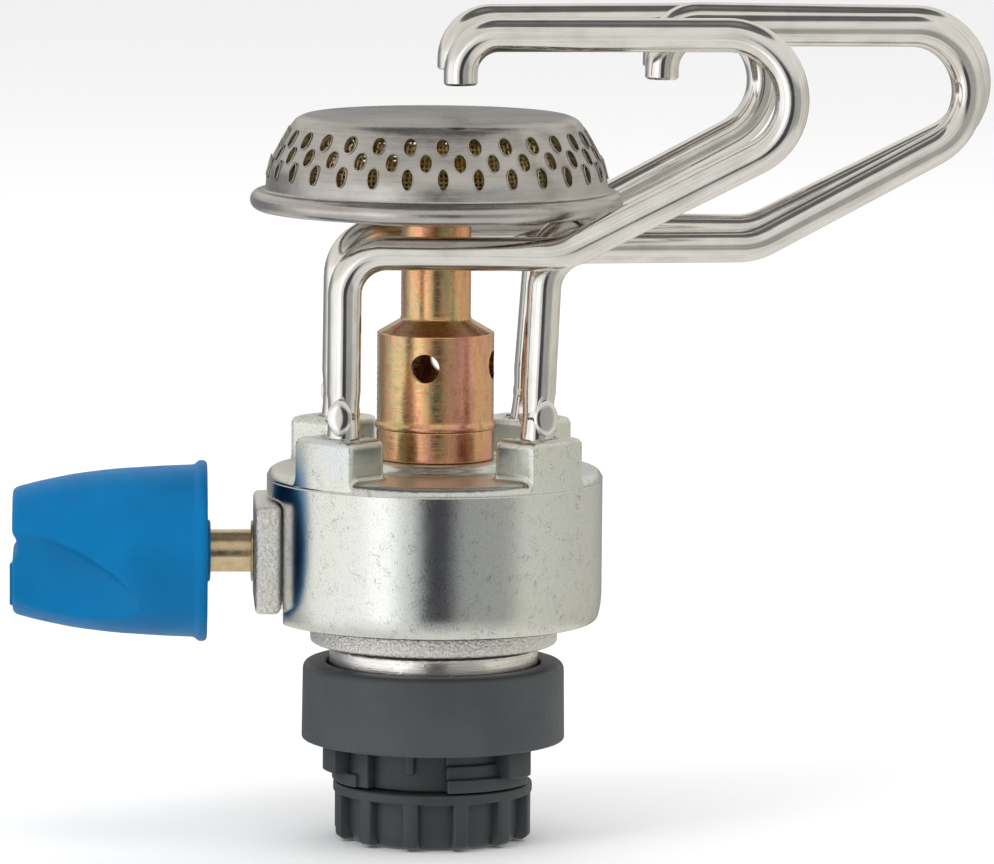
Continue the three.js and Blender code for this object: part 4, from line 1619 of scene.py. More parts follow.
@dataclass
class Burner:
    """The pressed cap with its flame holes, the woven strip behind them, and the dished pan below."""

    bead_height: float = 96.4
    bead_radius: float = 26.4
    bead: float = 1.5
    top: float = 109.2
    sheet: float = 0.6
    holes: int = 30
    first: float = -90.4
    rows: tuple[HoleRow, ...] = (
        HoleRow(106.0, 22.75, 2.0, 2.9, 60, 0.0),
        HoleRow(103.7, 24.0, 1.9, 2.9, 62, 0.5),
        HoleRow(101.4, 25.15, 1.7, 3.2, 75, 0.0),
    )
    facets: int = 180
    warp_count: int = 200
    weft_count: int = 15

    def cap_outline(self) -> Outline:
        """The cap's section: bead, wall, shoulder and flat top, and the same inside.

        Returns:
            The section's outline.
        """
        wall: list[Corner] = [
            (25.65, 97.85, 0.5), (25.35, 101.0, 1.5), (24.45, 102.9, 0.9), (22.5, 106.4, 1.2),
            (21.25, 108.45, 0.9), (19.9, 109.05, 0.6),
        ]
        bead = []
        for step in range(19):
            angle = math.radians(-175 + 265 * step / 18)
            bead.append((self.bead_radius + self.bead * math.cos(angle),
                         self.bead_height + self.bead * math.sin(angle), 0.0))
        outside = [*bead, *wall, (19.0, self.top, 0.0), (0.0, self.top, 0.0)]
        under = self.top - self.sheet
        inside = [(0.0, under, 0.0), (19.0, under, 0.0), (19.7, under - 0.1, 0.3)]
        inside += [(radius - self.sheet, height - self.sheet / 3, cut)
                   for radius, height, cut in reversed(wall[:5])]
        inside.append((self.bead_radius - self.bead - 0.1, self.bead_height + 0.9, 0.0))
        return rounded([*outside, *inside], 5)

    def punch(self) -> Piece:
        """A unit oval punch along X, scaled by each row to its own holes.

        Returns:
            The punch.
        """
        shape = turn([(0, -2), (0.5, -2), (0.5, 2), (0, 2)], 22)
        shape.transform(Matrix.Rotation(math.pi / 2, 4, "Y"))
        return from_bmesh("punch", shape)

    def rim(self, row: HoleRow) -> Piece:
        """The thin raised rim of one of a row's holes, drawn about the origin and facing +X.

        Args:
            row: The row of holes.

        Returns:
            The rim.
        """
        proud, stock, around = 0.05, 0.085, 26
        rings = []
        for step in range(around):
            angle = 2 * math.pi * step / around
            middle = Vector((proud, row.width / 2 * math.cos(angle), row.length / 2 * math.sin(angle)))
            outward = Vector((0, math.cos(angle) / row.width, math.sin(angle) / row.length)).normalized()
            ring = [middle + stock * (math.cos(turned) * Vector((1, 0, 0)) + math.sin(turned) * outward)
                    for turned in (math.pi / 3 * side for side in range(6))]
            rings.append(ring)
        shape = bmesh.new()
        loops = [[shape.verts.new(point) for point in ring] for ring in rings]
        for lower, upper in zip(loops, loops[1:] + loops[:1]):
            for side in range(6):
                after = (side + 1) % 6
                shape.faces.new([lower[side], lower[after], upper[after], upper[side]])
        return from_bmesh("rim", shape)

    def row_values(self, row: HoleRow, part: Piece, finish: bpy.types.Material,
                   scale: Sequence[float]) -> dict[str, object]:
        """The inputs that set a part round the cap at each of a row's holes.

        Args:
            row: The row of holes.
            part: What is set at each hole.
            finish: Its material.
            scale: Its scale along each axis.

        Returns:
            The values by input.
        """
        spacing = 2 * math.pi / self.holes
        return {
            "Part": part, "Count": self.holes, "First angle": math.radians(self.first) + spacing * row.shift,
            "Radius": row.radius, "Height": row.height, "Tip": math.radians(row.slope - 90),
            "Scale": scale, "Finish": finish,
        }

    def build_cap(self, bench: Bench, trees: Trees) -> None:
        """Builds the cap, punches its three rows of holes, and sets a rim in each hole.

        Args:
            bench: Takes the finished pieces.
            trees: The shared trees.
        """
        finish = bench.finishes[Slot.SHEET]
        cap = from_bmesh("burner_cap_blank", turn(self.cap_outline(), self.facets))
        punch = self.punch()
        rims = []
        for row in self.rows:
            values = self.row_values(row, punch, finish, (1, row.width, row.length))
            punched = trees.punch.grow("flame_cap", values, cap.data)
            bpy.data.objects.remove(cap)
            cap = punched
            rim = self.rim(row)
            values = self.row_values(row, rim, finish, (1, 1, 1))
            rims.append(trees.ring.grow("rims", values))
            bpy.data.objects.remove(rim)
        bpy.data.objects.remove(punch)
        cap.name = "flame_cap"
        bench.settle(cap, Slot.SHEET, "burner_cap")
        bench.settle(joined("flame_hole_rims", rims), Slot.SHEET, "burner_cap", math.radians(80), extra=True)

    def strip_radius(self, height: float) -> float:
        """The woven strip's radius at a height."""
        straight, lean_from, slope = 23.2, 101.0, 0.46
        return straight - max(0.0, height - lean_from) * slope

    def build_strip(self, bench: Bench, trees: Trees) -> None:
        """Weaves the brass strip: upright wires round the axis, and rings that pass in and out of them.

        Args:
            bench: Takes the finished pieces.
            trees: The shared trees.
        """
        finish = bench.finishes[Slot.BRASS_MESH]
        low, high = 98.2, 107.4
        swing, stock = 0.16, 0.17
        pitch = (high - low) / (self.weft_count - 1)
        parts = []
        for parity in (0, 1):
            points = []
            for step in range(self.weft_count):
                height = low + pitch * step
                side = 1 if (step + parity) % 2 else -1
                points.append(Vector((self.strip_radius(height) + side * swing, 0, height)))
            warp = trees.wire.grow("warp", {"Radius": stock, "Sides": 4, "Finish": finish},
                                   line_mesh("warp", points))
            turned = math.pi * 2 / self.warp_count * parity
            parts.append(trees.set_round("warps", warp, self.warp_count // 2, turned, finish))
        for step in range(self.weft_count):
            height = low + pitch * step
            ring = []
            for index in range(self.warp_count):
                side = -1 if (step + index) % 2 else 1
                radius = self.strip_radius(height) + side * swing
                angle = 2 * math.pi * index / self.warp_count
                ring.append(Vector((radius * math.cos(angle), radius * math.sin(angle), height)))
            parts.append(trees.wire.grow("weft", {"Radius": stock, "Sides": 4, "Finish": finish},
                                         line_mesh("weft", ring, closed=True)))
        bench.settle(joined("woven_strip", parts), Slot.BRASS_MESH, "burner_mesh", math.radians(80))

    def build_pan(self, bench: Bench) -> None:
        """Builds the dished pan and the ring that rivets it to the mixer tube.

        Args:
            bench: Takes the finished pieces.
        """
        pan = [
            (5.6, 93.3, 0.1), (12, 93.3, 2.0), (20, 94.2, 2.0), (24.2, 95.4, 0.6), (24.5, 97.0, 0.2),
            (24.0, 97.0, 0.2), (23.7, 95.9, 0.4), (19.8, 94.8, 2.0), (12, 93.9, 2.0), (5.6, 93.9, 0.1),
        ]
        bench.settle_turned("burner_dish", pan, Slot.SHEET, "burner_pan")
        ring = [(5.55, 94.3, 0.1), (8.2, 94.3, 0.3), (8.2, 95.3, 0.4), (5.55, 95.3, 0.3)]
        bench.settle_turned("dish_rivet_ring", ring, Slot.SHEET, "burner_rivet_ring", facets=SMALL_FACETS)


# ---- Mixer tube ----


@dataclass
class Mixer:
    """The yellow-passivated mixer tube and the holder that it stands on."""

    radius: float = 8.78
    base_radius: float = 8.85
    base: float = 57.65
    ridge: float = 62.6
    shoulder: float = 76.6
    neck_height: float = 78.6
    neck_radius: float = 5.25
    top: float = 96.2
    wall: float = 1.2
    air_hole: float = 2.15
    air_height: float = 71.9
    air_first: float = -103.0
    line_pitch: float = 0.5
    line_depth: float = 0.035

    def turned_wall(self, radius: float, start: float, end: float) -> list[Corner]:
        """A wall with fine turning lines between two heights.

        Args:
            radius: Its radius.
            start: The height it starts at.
            end: The height it ends at.

        Returns:
            The wall's corners.
        """
        count = round((end - start) / self.line_pitch)
        return [(radius - self.line_depth * (step % 2), start + (end - start) * step / count, 0.0)
                for step in range(count + 1)]

    def build_tube(self, bench: Bench) -> None:
        """Builds the tube with its cone and its four air holes.

        Args:
            bench: Takes the finished pieces.
        """
        bore = self.neck_radius - 1.0
        outline = rounded([
            (self.radius - self.wall, self.ridge - 0.28, 0.1),
            (self.radius + 0.28, self.ridge - 0.28, 0.2),
            (self.radius + 0.28, self.ridge + 0.35, 0.2),
            *self.turned_wall(self.radius, self.ridge + 0.8, self.shoulder - 0.25),
            (self.radius, self.shoulder, 0.2),
            (self.neck_radius + 0.1, self.neck_height, 0.25),
            *self.turned_wall(self.neck_radius, self.neck_height + 0.4, self.top - 0.3),
            (self.neck_radius, self.top, 0.2),
            (bore, self.top, 0.2),
            (bore, self.neck_height - 1.2, 0.2),
            (self.radius - self.wall, self.shoulder - 1.4, 0.4),
        ])
        tube = from_bmesh("mixer", turn(outline))
        drills = []
        for quarter in (0, 1):
            angle = math.radians(self.air_first + 90 * quarter)
            reach = Vector((math.cos(angle), math.sin(angle), 0)) * (self.radius + 3)
            middle = Vector((0, 0, self.air_height))
            drills.append(rod(self.air_hole, middle - reach, middle + reach))
        combine(tube, drills, Combine.CUT)
        bench.settle(tube, Slot.PASSIVATED, "mixer_tube")

    def build_holder(self, bench: Bench) -> None:
        """Builds the holder that clamps the drum and carries the jet.

        Args:
            bench: Takes the finished pieces.
        """
        ridge = self.ridge - 0.3
        corners = [
            (4.2, 49.4, 0.2), (6.7, 49.4, 0.4), (6.7, self.base, 0.2), (self.base_radius, self.base, 0.3),
            *self.turned_wall(self.base_radius, self.base + 0.6, ridge - 0.5),
            (self.base_radius, ridge, 0.25), (7.4, ridge, 0.2), (7.4, 63.6, 0.2), (6.2, 63.6, 0.2),
            (6.2, 60.4, 0.2), (4.2, 60.4, 0.2),
        ]
        bench.settle_turned("jet_carrier", corners, Slot.PASSIVATED, "jet_holder")


# ---- Spindle and knob ----


@dataclass
class Control:
    """The brass spindle, its gland nut and the blue knob, all about the spindle's own axis."""

    spindle_height: float = 43.5
    spindle_radius: float = 3.2
    flat: float = 2.46
    flat_turn: float = 50.0
    spindle_end: float = -56.0
    tip: float = -6.4
    seals: tuple[float, float] = (-13.5, -16.5)
    seal_groove: float = 1.4
    gland_radius: float = 4.55
    gland_head: float = -27.55
    gland_thread: float = 4.2
    gland_bore: float = 3.3
    gland_inner: float = -19.4
    packing: tuple[float, float] = (-19.1, -18.3)
    seal_sink: float = 0.28
    seal_stock: float = 0.48
    block_outer: float = -27.1
    knob_radius: float = 12.95
    lip_radius: float = 13.6
    knob_foot: float = -34.1
    knob_end: float = -63.2
    cavity_end: float = -45.5
    end_radius: float = 9.4
    hub_radius: float = 4.75
    hub_foot: float = -33.6
    hollow_middle: tuple[float, float, float] = (-62.0, -12.4, -3.6)
    hollow_size: tuple[float, float, float] = (22.0, 5.6, 8.5)
    hollow_slope: float = 24.0
    grain: float = 0.3

    def turned(self, name: str, outline: Outline, facets: int = SMALL_FACETS) -> Piece:
        """A piece turned about the spindle's axis from (radius, x) points.

        Args:
            name: The object's name.
            outline: Its section.
            facets: How many sides it has.

        Returns:
            The piece.
        """
        shape = turn(outline, facets)
        shape.transform(spindle_place(self.spindle_height))
        return from_bmesh(name, shape)

    def flat_cutter(self, spare: float = 0.0) -> Piece:
        """The block that takes the spindle's D-shaped flat away.

        Args:
            spare: How much farther out the cut starts.

        Returns:
            The block.
        """
        start = self.spindle_end - 1
        cutter = block((start, -self.flat - spare - 6, -5), (start + 30, -self.flat - spare, 5))
        turned = Matrix.Rotation(math.radians(self.flat_turn), 4, "X")
        cutter.data.transform(Matrix.Translation((0, 0, self.spindle_height)) @ turned)
        return cutter

    def build_spindle(self, bench: Bench) -> None:
        """Builds the spindle with its needle tip, two seal grooves and flat.

        Args:
            bench: Takes the finished pieces.
        """
        inner, outer = self.seals
        half = self.seal_groove / 2
        neck = self.spindle_radius - 1.0
        full = self.spindle_radius
        outline = rounded([
            (0, self.spindle_end, 0), (full, self.spindle_end, 0.4),
            (full, outer - half, 0.1), (neck, outer - half, 0.1), (neck, outer + half, 0.1),
            (full, outer + half, 0.1), (full, inner - half, 0.1), (neck, inner - half, 0.1),
            (neck, inner + half, 0.1), (full, inner + half, 0.1), (full, -9.5, 0.3),
            (0.9, self.tip, 0.2), (0, self.tip, 0),
        ])
        spindle = self.turned("brass_spindle", outline)
        combine(spindle, [self.flat_cutter()], Combine.CUT)
        bench.settle(spindle, Slot.BRASS, "spindle")

    def build_gland(self, bench: Bench) -> None:
        """Builds the gland nut, the packing washer behind it and the two seals.

        Args:
            bench: Takes the finished pieces.
        """
        shoulder = self.block_outer - 0.15
        nut = rounded([
            (self.gland_bore, self.gland_head, 0.1), (self.gland_radius, self.gland_head, 0.2),
            (self.gland_radius, shoulder, 0.1), (self.gland_thread, shoulder, 0.1),
            (self.gland_thread, self.gland_inner, 0.3), (self.gland_bore, self.gland_inner, 0.1),
        ], 3)
        bench.settle(self.turned("gland", nut), Slot.BRASS, "gland_nut")
        washer = rounded(ring_corners(self.gland_bore, self.gland_thread, *self.packing, 0.15, 0.1), 2)
        bench.settle(self.turned("packing", washer), Slot.FIBRE, "packing_washer")
        for place, middle in zip(("inner", "outer"), self.seals):
            section = [(self.spindle_radius - self.seal_sink + self.seal_stock * math.cos(angle),
                        middle + self.seal_stock * math.sin(angle))
                       for angle in (math.pi * step / 8 for step in range(16))]
            bench.settle(self.turned(f"{place}_spindle_seal", section), Slot.RUBBER,
                         f"spindle_seal_{place}", math.radians(80))

    def hollow(self, turned: float) -> Piece:
        """One finger hollow: a long oval scoop that starts at the knob's end.

        Args:
            turned: Its turn about the spindle, in radians.

        Returns:
            The scoop.
        """
        shape = bmesh.new()
        bmesh.ops.create_uvsphere(shape, u_segments=64, v_segments=40, radius=1)
        shape.transform(
            Matrix.Translation((0, 0, self.spindle_height)) @ Matrix.Rotation(turned, 4, "X")
            @ Matrix.Translation(self.hollow_middle)
            @ Matrix.Rotation(math.radians(self.hollow_slope), 4, "Y")
            @ Matrix.Diagonal((*self.hollow_size, 1)))
        return from_bmesh("hollow", shape)

    def build_knob(self, bench: Bench) -> None:
        """Builds the knob: a tapered cup with a hub, a rolled lip, two finger hollows and an end groove.

        Args:
            bench: Takes the finished pieces.
        """
        outline = rounded([
            (0, self.knob_end, 0), (self.end_radius, self.knob_end, 0.9),
            (10.4, -59.5, 1.5), (11.55, -54, 2.0), (12.3, -48, 2.0), (12.75, -41, 2.0),
            (self.knob_radius, -35.9, 0.3), (self.lip_radius, -35.5, 0.35), (self.lip_radius, -34.4, 0.4),
            (13.1, self.knob_foot, 0.2), (11.3, self.knob_foot, 0.3), (10.4, self.cavity_end, 0.8),
            (self.hub_radius, self.cavity_end, 0.6), (self.hub_radius, self.hub_foot, 0.4),
            (0, self.hub_foot, 0),
        ], 6)
        knob = self.turned("blue_knob", outline, TURN_FACETS)
        axis = Vector((0, 0, self.spindle_height))
        right = Vector((1, 0, 0))
        bore = rod(self.spindle_radius + 0.3, axis + right * (self.spindle_end - 0.5), axis - right * 33)
        combine(bore, [self.flat_cutter(0.3)], Combine.CUT)
        groove_middle = Vector((self.knob_end - 2.9, 0, self.spindle_height + 1.8))
        groove = rod(3.7, groove_middle + Vector((0, -20, -1)), groove_middle + Vector((0, 20, 1)))
        combine(knob, [bore, self.hollow(0), self.hollow(math.pi), groove], Combine.CUT)
        soften(knob, self.grain, 3)
        pointer = block((self.knob_end - 0.45, -1.1, self.spindle_height - 8.2),
                        (self.knob_end + 1.2, 1.1, self.spindle_height - 1.9))
        bevel(pointer, 0.3, 3)
        bench.settle(joined("blue_knob", [knob, pointer]), Slot.BLUE, "control_knob", math.radians(60))


# ---- Cartridge coupling ----


@dataclass(frozen=True)
class Lug:
    """A block on the coupling: between two angles and two heights, out to a radius."""

    outer: float
    bottom: float
    top: float
    start: float
    end: float


@dataclass
class Coupling:
    """The grey cartridge coupling: hub with locking lugs, fluted nose, and the collar that slides over it."""

    hub_radius: float = 13.0
    hub_bore: float = 11.75
    bottom: float = 9.0
    top: float = 20.3
    root: float = 12.4
    lugs: tuple[Lug, ...] = (
        Lug(15.2, 9.0, 11.0, -84, -22),
        Lug(14.4, 10.9, 13.0, -84, -26),
        Lug(13.8, 12.9, 20.3, -84, -28),
        Lug(14.2, 11.5, 17.3, -110, -104),
        Lug(14.6, 9.0, 14.4, -150, -134),
        Lug(17.0, 10.8, 14.8, -170, -152),
    )
    lug_sets: int = 3
    nose_radius: float = 15.0
    floor_radius: float = 13.4
    nose_top: float = 8.7
    nose_ring: float = 7.2
    nose_bore: float = 9.2
    ribs: int = 12
    rib_width: float = 2.4
    rib_angle: float = 14.6
    collar_radius: float = 19.8
    collar_bottom: float = 15.2
    collar_top: float = 26.9
    collar_mouth: float = 16.2
    collar_bore: float = 18.7
    collar_lip: float = 2.0
    spring_turns: float = 5.0

    def sector(self, lug: Lug) -> Piece:
        """One lug as a solid.

        Args:
            lug: The lug's sizes.

        Returns:
            The solid.
        """
        steps = max(2, round((lug.end - lug.start) / 3))
        angles = [math.radians(lug.start + (lug.end - lug.start) * step / steps)
                  for step in range(steps + 1)]
        outline = [(lug.outer, angle) for angle in angles]
        outline += [(self.root, angle) for angle in reversed(angles)]
        rings = [[Vector((radius * math.cos(angle), radius * math.sin(angle), height))
                  for radius, angle in outline] for height in (lug.bottom, lug.top)]
        made = from_bmesh("lug", loft(rings))
        bevel(made, 0.28, 3)
        return made

    def build_hub(self, bench: Bench, trees: Trees) -> None:
        """Builds the hub and sets its lugs round it three times.

        Args:
            bench: Takes the finished pieces.
            trees: The shared trees.
        """
        hub = from_bmesh("hub", turn(rounded([
            (self.hub_bore, self.bottom, 0.2), (self.hub_radius, self.bottom, 0.2),
            (self.hub_radius, self.top, 0.3), (self.hub_bore, self.top, 0.3)])))
        lugs = joined("lugs", [self.sector(lug) for lug in self.lugs])
        lug_ring = trees.set_round("lug_ring", lugs, self.lug_sets, 0.0, bench.finishes[Slot.GREY])
        # The hub takes the darker copy of the grey plastic, which is painted shade.
        bench.settle(joined("locking_hub", [hub, lug_ring]), Slot.GREY, "coupling_body",
                     finish=bench.finishes.grey_with_painted_shade)

    def build_nose(self, bench: Bench, trees: Trees) -> None:
        """Builds the fluted nose: a core with ribs standing between its panels.

        Args:
            bench: Takes the finished pieces.
            trees: The shared trees.
        """
        core = from_bmesh("nose_core", turn(rounded([
            (self.nose_bore, 0, 0.3), (12.6, 0, 0.9), (self.floor_radius, 1.6, 0.9),
            (self.floor_radius, self.nose_ring, 0.5), (self.nose_radius, self.nose_ring, 0.3),
            (self.nose_radius, self.nose_top, 0.35), (self.nose_bore, self.nose_top, 0.2)])))
        half = self.rib_width / 2
        rib_bottom = 0.35
        rib = block((self.floor_radius - 1.2, -half, rib_bottom),
                    (self.nose_radius - 0.05, half, self.nose_ring + 0.8))
        slope = block((self.nose_radius - 1.2, -half - 1, -3), (self.nose_radius + 3, half + 1, 0.5))
        slope.data.transform(Matrix.Translation((self.nose_radius, 0, rib_bottom))
                             @ Matrix.Rotation(math.radians(-38), 4, "Y")
                             @ Matrix.Translation((-self.nose_radius, 0, 0)))
        combine(rib, [slope], Combine.CUT)
        bevel(rib, 0.4, 3)
        ribs = trees.set_round("ribs", rib, self.ribs, math.radians(self.rib_angle),
                               bench.finishes[Slot.GREY])
        # The nose takes the darker copy of the grey plastic, which is painted shade.
        bench.settle(joined("fluted_nose", [core, ribs]), Slot.GREY, "coupling_nose",
                     finish=bench.finishes.grey_with_painted_shade)

    def build_collar(self, bench: Bench, trees: Trees) -> None:
        """Builds the sliding collar, its spring, its retaining ring and the clip on the spigot.

        Args:
            bench: Takes the finished pieces.
            trees: The shared trees.
        """
        collar = [
            (self.collar_bore, self.collar_bottom, 0.35), (self.collar_radius, self.collar_bottom, 0.4),
            (self.collar_radius - 0.15, self.collar_top, 1.3), (self.collar_mouth, self.collar_top, 0.4),
            (self.collar_mouth, self.collar_top - self.collar_lip, 0.3),
            (self.collar_bore, self.collar_top - self.collar_lip, 0.3),
            (self.collar_bore, 17.4, 0.05), (self.collar_bore + 0.5, 17.4, 0.05),
            (self.collar_bore + 0.5, 16.2, 0.05), (self.collar_bore, 16.2, 0.05),
        ]
        bench.settle_turned("collar_sleeve", collar, Slot.GREY, "collar", 6)
        bench.settle_turned("retaining_ring", ring_corners(17.3, 18.9, 16.5, 17.1, 0.2, 0.15), Slot.SPRING,
                            "collar_ring", 3)
        bench.settle_turned("spigot_clip", ring_corners(10.9, 11.4, 12.6, 13.2, 0.2, 0.1), Slot.SPRING,
                            "coupling_clip", 3)
        low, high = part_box("collar_spring")
        stock = 0.5
        spring = trees.coil.grow("return_spring", {
            "Turns": self.spring_turns, "Radius": 17.7, "Wire radius": stock,
            "Height": (high.z - low.z) / MM - 2 * stock, "Finish": bench.finishes[Slot.SPRING],
        })
        spring.data.transform(Matrix.Translation((0, 0, low.z / MM + stock)))
        bench.settle(spring, Slot.SPRING, "collar_spring", math.radians(80))


# ---- Small turned pieces inside ----


@dataclass(frozen=True)
class TurnedPiece:
    """A small piece turned about the stove's axis, from its corners."""

    name: str
    node: str
    slot: Slot
    corners: tuple[Corner, ...]

    def build(self, bench: Bench) -> None:
        """Builds the piece."""
        bench.settle_turned(self.name, self.corners, self.slot, self.node, 3, SMALL_FACETS)


def inner_pieces() -> list[TurnedPiece]:
    """The jet, the filter, the inlet tube and the seals.

    Returns:
        The pieces.
    """
    return [
        TurnedPiece("gas_jet", "jet", Slot.BRASS, (
            (0.5, 52.6, 0.1), (3.9, 52.6, 0.3), (3.9, 57.0, 0.3), (2.4, 57.0, 0.2), (2.0, 64.5, 0.4),
            (0.9, 66.2, 0.2), (0.5, 66.2, 0.1))),
        TurnedPiece("jet_seat_washer", "jet_washer", Slot.FIBRE, ring_corners(4.6, 6.5, 48.9, 49.1, 0.05)),
        TurnedPiece("sintered_filter", "gas_filter", Slot.BRASS, (
            (0, 50.0, 0), (3.8, 50.0, 0.3), (3.8, 52.2, 0.3), (0, 52.2, 0))),
        TurnedPiece("gas_inlet", "inlet_tube", Slot.BRASS, (
            (1.2, 5.0, 0.2), (2.2, 5.0, 0.3), (3.2, 7.0, 0.3), (3.2, 14.5, 0.1), (4.3, 14.5, 0.2),
            (4.3, 23.4, 0.2), (1.2, 23.4, 0.2))),
        TurnedPiece("inlet_ring_seal", "inlet_seal", Slot.RUBBER, ring_corners(3.45, 4.35, 12.3, 14.1, 0.4)),
        TurnedPiece("nose_face_seal", "nose_seal", Slot.RUBBER, ring_corners(5.3, 8.9, 5.4, 7.8, 0.6)),
    ]


# ---- Studio ----


@dataclass
class Studio:
    """A plain pale floor, soft studio light and the camera."""

    target: tuple[float, float, float] = (9.3, 0.0, 61.5)
    distance: float = 1058.0
    azimuth: float = -3.0
    elevation: float = 6.76
    roll: float = 0.48
    lens: float = 255.4
    floor_half: float = 9000.0

    def build_camera(self) -> None:
        """Sets the camera up."""
        azimuth = math.radians(self.azimuth)
        elevation = math.radians(self.elevation)
        forward = Vector((-math.sin(azimuth) * math.cos(elevation), math.cos(azimuth) * math.cos(elevation),
                          -math.sin(elevation)))
        data = bpy.data.cameras.new("camera")
        data.lens = self.lens
        data.sensor_width = 36.0
        data.clip_start = 0.05
        data.clip_end = 50.0
        camera = bpy.data.objects.new("camera", data)
        bpy.context.scene.collection.objects.link(camera)
        camera.location = (Vector(self.target) - forward * self.distance) * MM
        aim = forward.to_track_quat("-Z", "Y").to_matrix() @ Matrix.Rotation(math.radians(self.roll), 3, "Z")
        camera.rotation_euler = aim.to_euler()
        bpy.context.scene.camera = camera

    def build_floor(self) -> None:
        """Lays the floor."""
        shape = bmesh.new()
        bmesh.ops.create_grid(shape, x_segments=1, y_segments=1, size=self.floor_half * MM)
        floor = from_bmesh("floor", shape)
        paper = bpy.data.materials.new("pale_paper")
        paper.use_nodes = True
        shader = paper.node_tree.nodes["Principled BSDF"]
        shader.inputs["Base Color"].default_value = (0.92, 0.92, 0.92, 1)
        shader.inputs["Roughness"].default_value = 0.9
        floor.data.materials.append(paper)
        floor.visible_glossy = False

    def build_light(self, name: str, azimuth: float, elevation: float, size: tuple[float, float],
                    watts: float, tint: Colour = (1, 1, 1)) -> None:
        """Adds a soft box that faces the stove.

        Args:
            name: The light's name.
            azimuth: Where it stands, in degrees to the right of the camera's side.
            elevation: How high it stands, in degrees.
            size: Its width and height in metres.
            watts: Its power.
            tint: Its colour.
        """
        away = 1.3
        turned = math.radians(azimuth)
        raised = math.radians(elevation)
        back = Vector((math.sin(turned) * math.cos(raised), -math.cos(turned) * math.cos(raised),
                       math.sin(raised)))
        data = bpy.data.lights.new(name, "AREA")
        data.shape = "RECTANGLE"
        data.size, data.size_y = size
        data.energy = watts
        data.color = tint
        light = bpy.data.objects.new(name, data)
        bpy.context.scene.collection.objects.link(light)
        light.visible_glossy = False
        light.location = Vector(self.target) * MM + back * away
        light.rotation_euler = (-back).to_track_quat("-Z", "Y").to_euler()

    def build_world(self) -> None:
        """Surrounds the stove with pale walls, a darker ceiling and a narrow dark gap behind the camera."""
        world = bpy.data.worlds.new("studio")
        bpy.context.scene.world = world
        world.use_nodes = True
        graph = ColourGraph(world.node_tree)
        nodes, links = graph.nodes, graph.links
        split = nodes.new("ShaderNodeSeparateXYZ")
        links.new(nodes.new("ShaderNodeTexCoord").outputs["Generated"], split.inputs["Vector"])
        front = graph.math("MULTIPLY", split.outputs["Y"], -1.0)
        bearing = graph.math("ARCTAN2", split.outputs["X"], front)
        round_about = graph.math("ADD", graph.math("DIVIDE", bearing, 2 * math.pi), 0.5)

        def at(degrees: float) -> float:
            """A bearing's place on the scale, in degrees to the right of the camera's side."""
            return degrees / 360 + 0.5

        walls = graph.ramp(round_about, [
            (at(-180), (0.34, 0.34, 0.34)), (at(-130), (0.26, 0.27, 0.29)), (at(-106), (0.7, 0.71, 0.72)),
            (at(-94), (1.12, 1.13, 1.13)), (at(-52), (1.22, 1.22, 1.22)), (at(-44), (1.5, 1.5, 1.5)),
            (at(-31), (1.45, 1.45, 1.45)), (at(-26), (0.9, 0.93, 0.9)), (at(-14), (0.74, 0.77, 0.75)),
            (at(-11), (0.07, 0.07, 0.08)), (at(10), (0.07, 0.07, 0.08)), (at(13), (0.38, 0.39, 0.385)),
            (at(50), (0.44, 0.445, 0.43)), (at(62), (0.76, 0.76, 0.69)), (at(135), (0.62, 0.61, 0.56)),
            (at(165), (0.38, 0.37, 0.36)),
        ])
        ceiling = graph.ramp(split.outputs["Z"], [
            (0.0, (1, 1, 1)), (0.6, (0.97, 0.97, 0.97)), (0.8, (1.0, 1.0, 1.0)), (0.85, (0.2, 0.2, 0.21)),
            (0.96, (0.14, 0.14, 0.15)), (1.0, (0.3, 0.3, 0.3)),
        ])
        steep = graph.math("ABSOLUTE", graph.math("ADD", split.outputs["Z"], 0.12))
        edge = graph.ramp(steep, [(0.22, (0, 0, 0)), (0.34, (0.8, 0.8, 0.8)), (0.62, (1, 1, 1))])
        levelled = graph.blend(edge, walls, (0.86, 0.85, 0.81))
        reflected = nodes.new("ShaderNodeBackground")
        links.new(graph.blend(1.0, levelled, ceiling, "MULTIPLY"), reflected.inputs["Color"])
        backdrop = nodes.new("ShaderNodeBackground")
        backdrop.inputs["Color"].default_value = (0.96, 0.96, 0.96, 1)
        choice = nodes.new("ShaderNodeMixShader")
        links.new(nodes.new("ShaderNodeLightPath").outputs["Is Glossy Ray"], choice.inputs["Fac"])
        links.new(backdrop.outputs[0], choice.inputs[1])
        links.new(reflected.outputs[0], choice.inputs[2])
        links.new(choice.outputs[0], nodes.new("ShaderNodeOutputWorld").inputs["Surface"])

    def build(self) -> None:
        """Builds the whole studio."""
        self.build_camera()
        self.build_floor()
        self.build_world()
        self.build_light("left_box", -48, 36, (0.5, 0.5), 4)
        self.build_light("top_box", 10, 78, (0.9, 0.6), 2)
        self.build_light("right_box", 78, 26, (0.4, 0.6), 1.0, (1.0, 0.96, 0.9))
        self.build_light("back_box", 170, 48, (0.9, 0.4), 2)
        bpy.context.scene.view_settings.view_transform = "Standard"


# ---- The stove ----


def pan_supports() -> list[PanSupport]:
    """The four arms, as they lie folded together.

    Returns:
        The arms.
    """
    return [
        PanSupport("front_left", -1, -1, -10.8, 0.2, -0.9, -0.9),
        PanSupport("back_left", -1, 1, 11.0, 0.6, 0.0, -0.7),
        PanSupport("front_right", 1, -1, 15.0, 2.5, 0.8, 0.1),
        PanSupport("back_right", 1, 1, 5.0, 4.1, 0.8, 0.2),
    ]


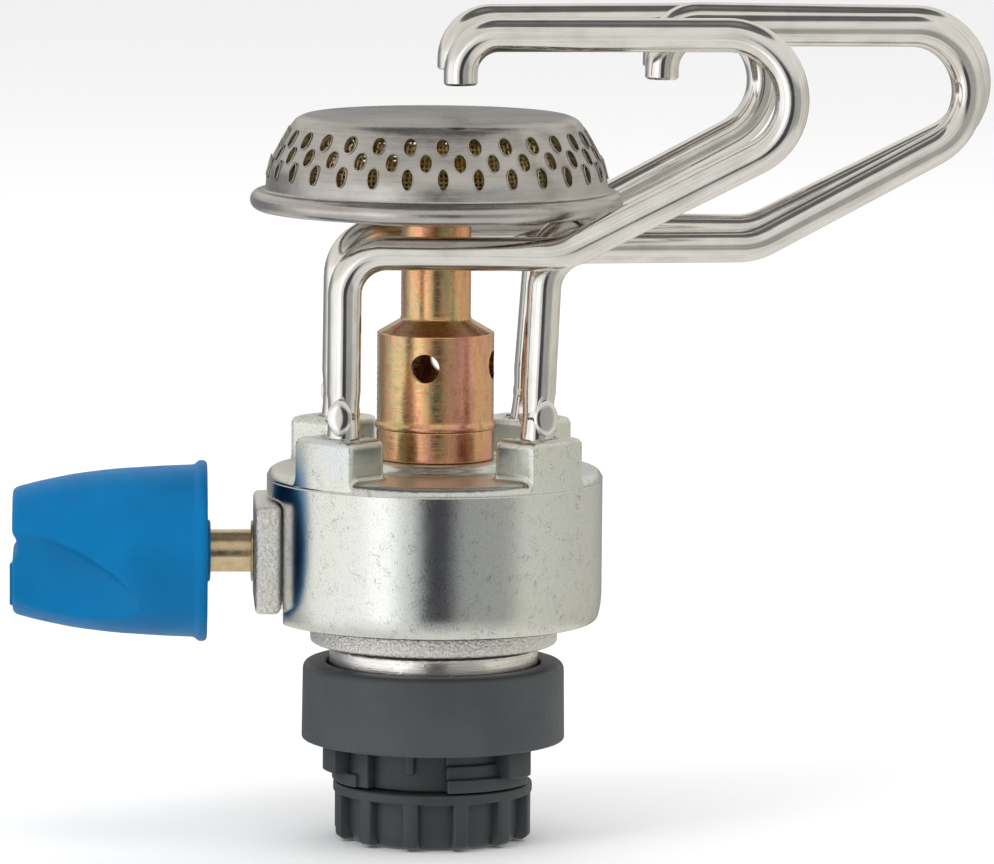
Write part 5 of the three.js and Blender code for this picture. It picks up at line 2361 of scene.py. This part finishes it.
def main() -> None:
    """Builds the studio and the stove, piece by piece."""
    logging.basicConfig(level=logging.INFO, format="%(message)s")
    Studio().build()
    drum = Drum()
    valve = ValveBody()
    bench = Bench(Finishes(drum.parting_height, (valve.neck_bottom, valve.flange_bottom + 0.1)))
    trees = Trees()
    for arm in pan_supports():
        arm.build(bench, trees)
    drum.build(bench, ArmShape())
    valve.build(bench)
    burner = Burner()
    burner.build_cap(bench, trees)
    burner.build_strip(bench, trees)
    burner.build_pan(bench)
    mixer = Mixer()
    mixer.build_tube(bench)
    mixer.build_holder(bench)
    control = Control()
    control.build_spindle(bench)
    control.build_gland(bench)
    control.build_knob(bench)
    coupling = Coupling()
    coupling.build_hub(bench, trees)
    coupling.build_nose(bench, trees)
    coupling.build_collar(bench, trees)
    for piece in inner_pieces():
        piece.build(bench)
    LOG.info("%d pieces built", bench.count)


if __name__ == "__main__":
    main()
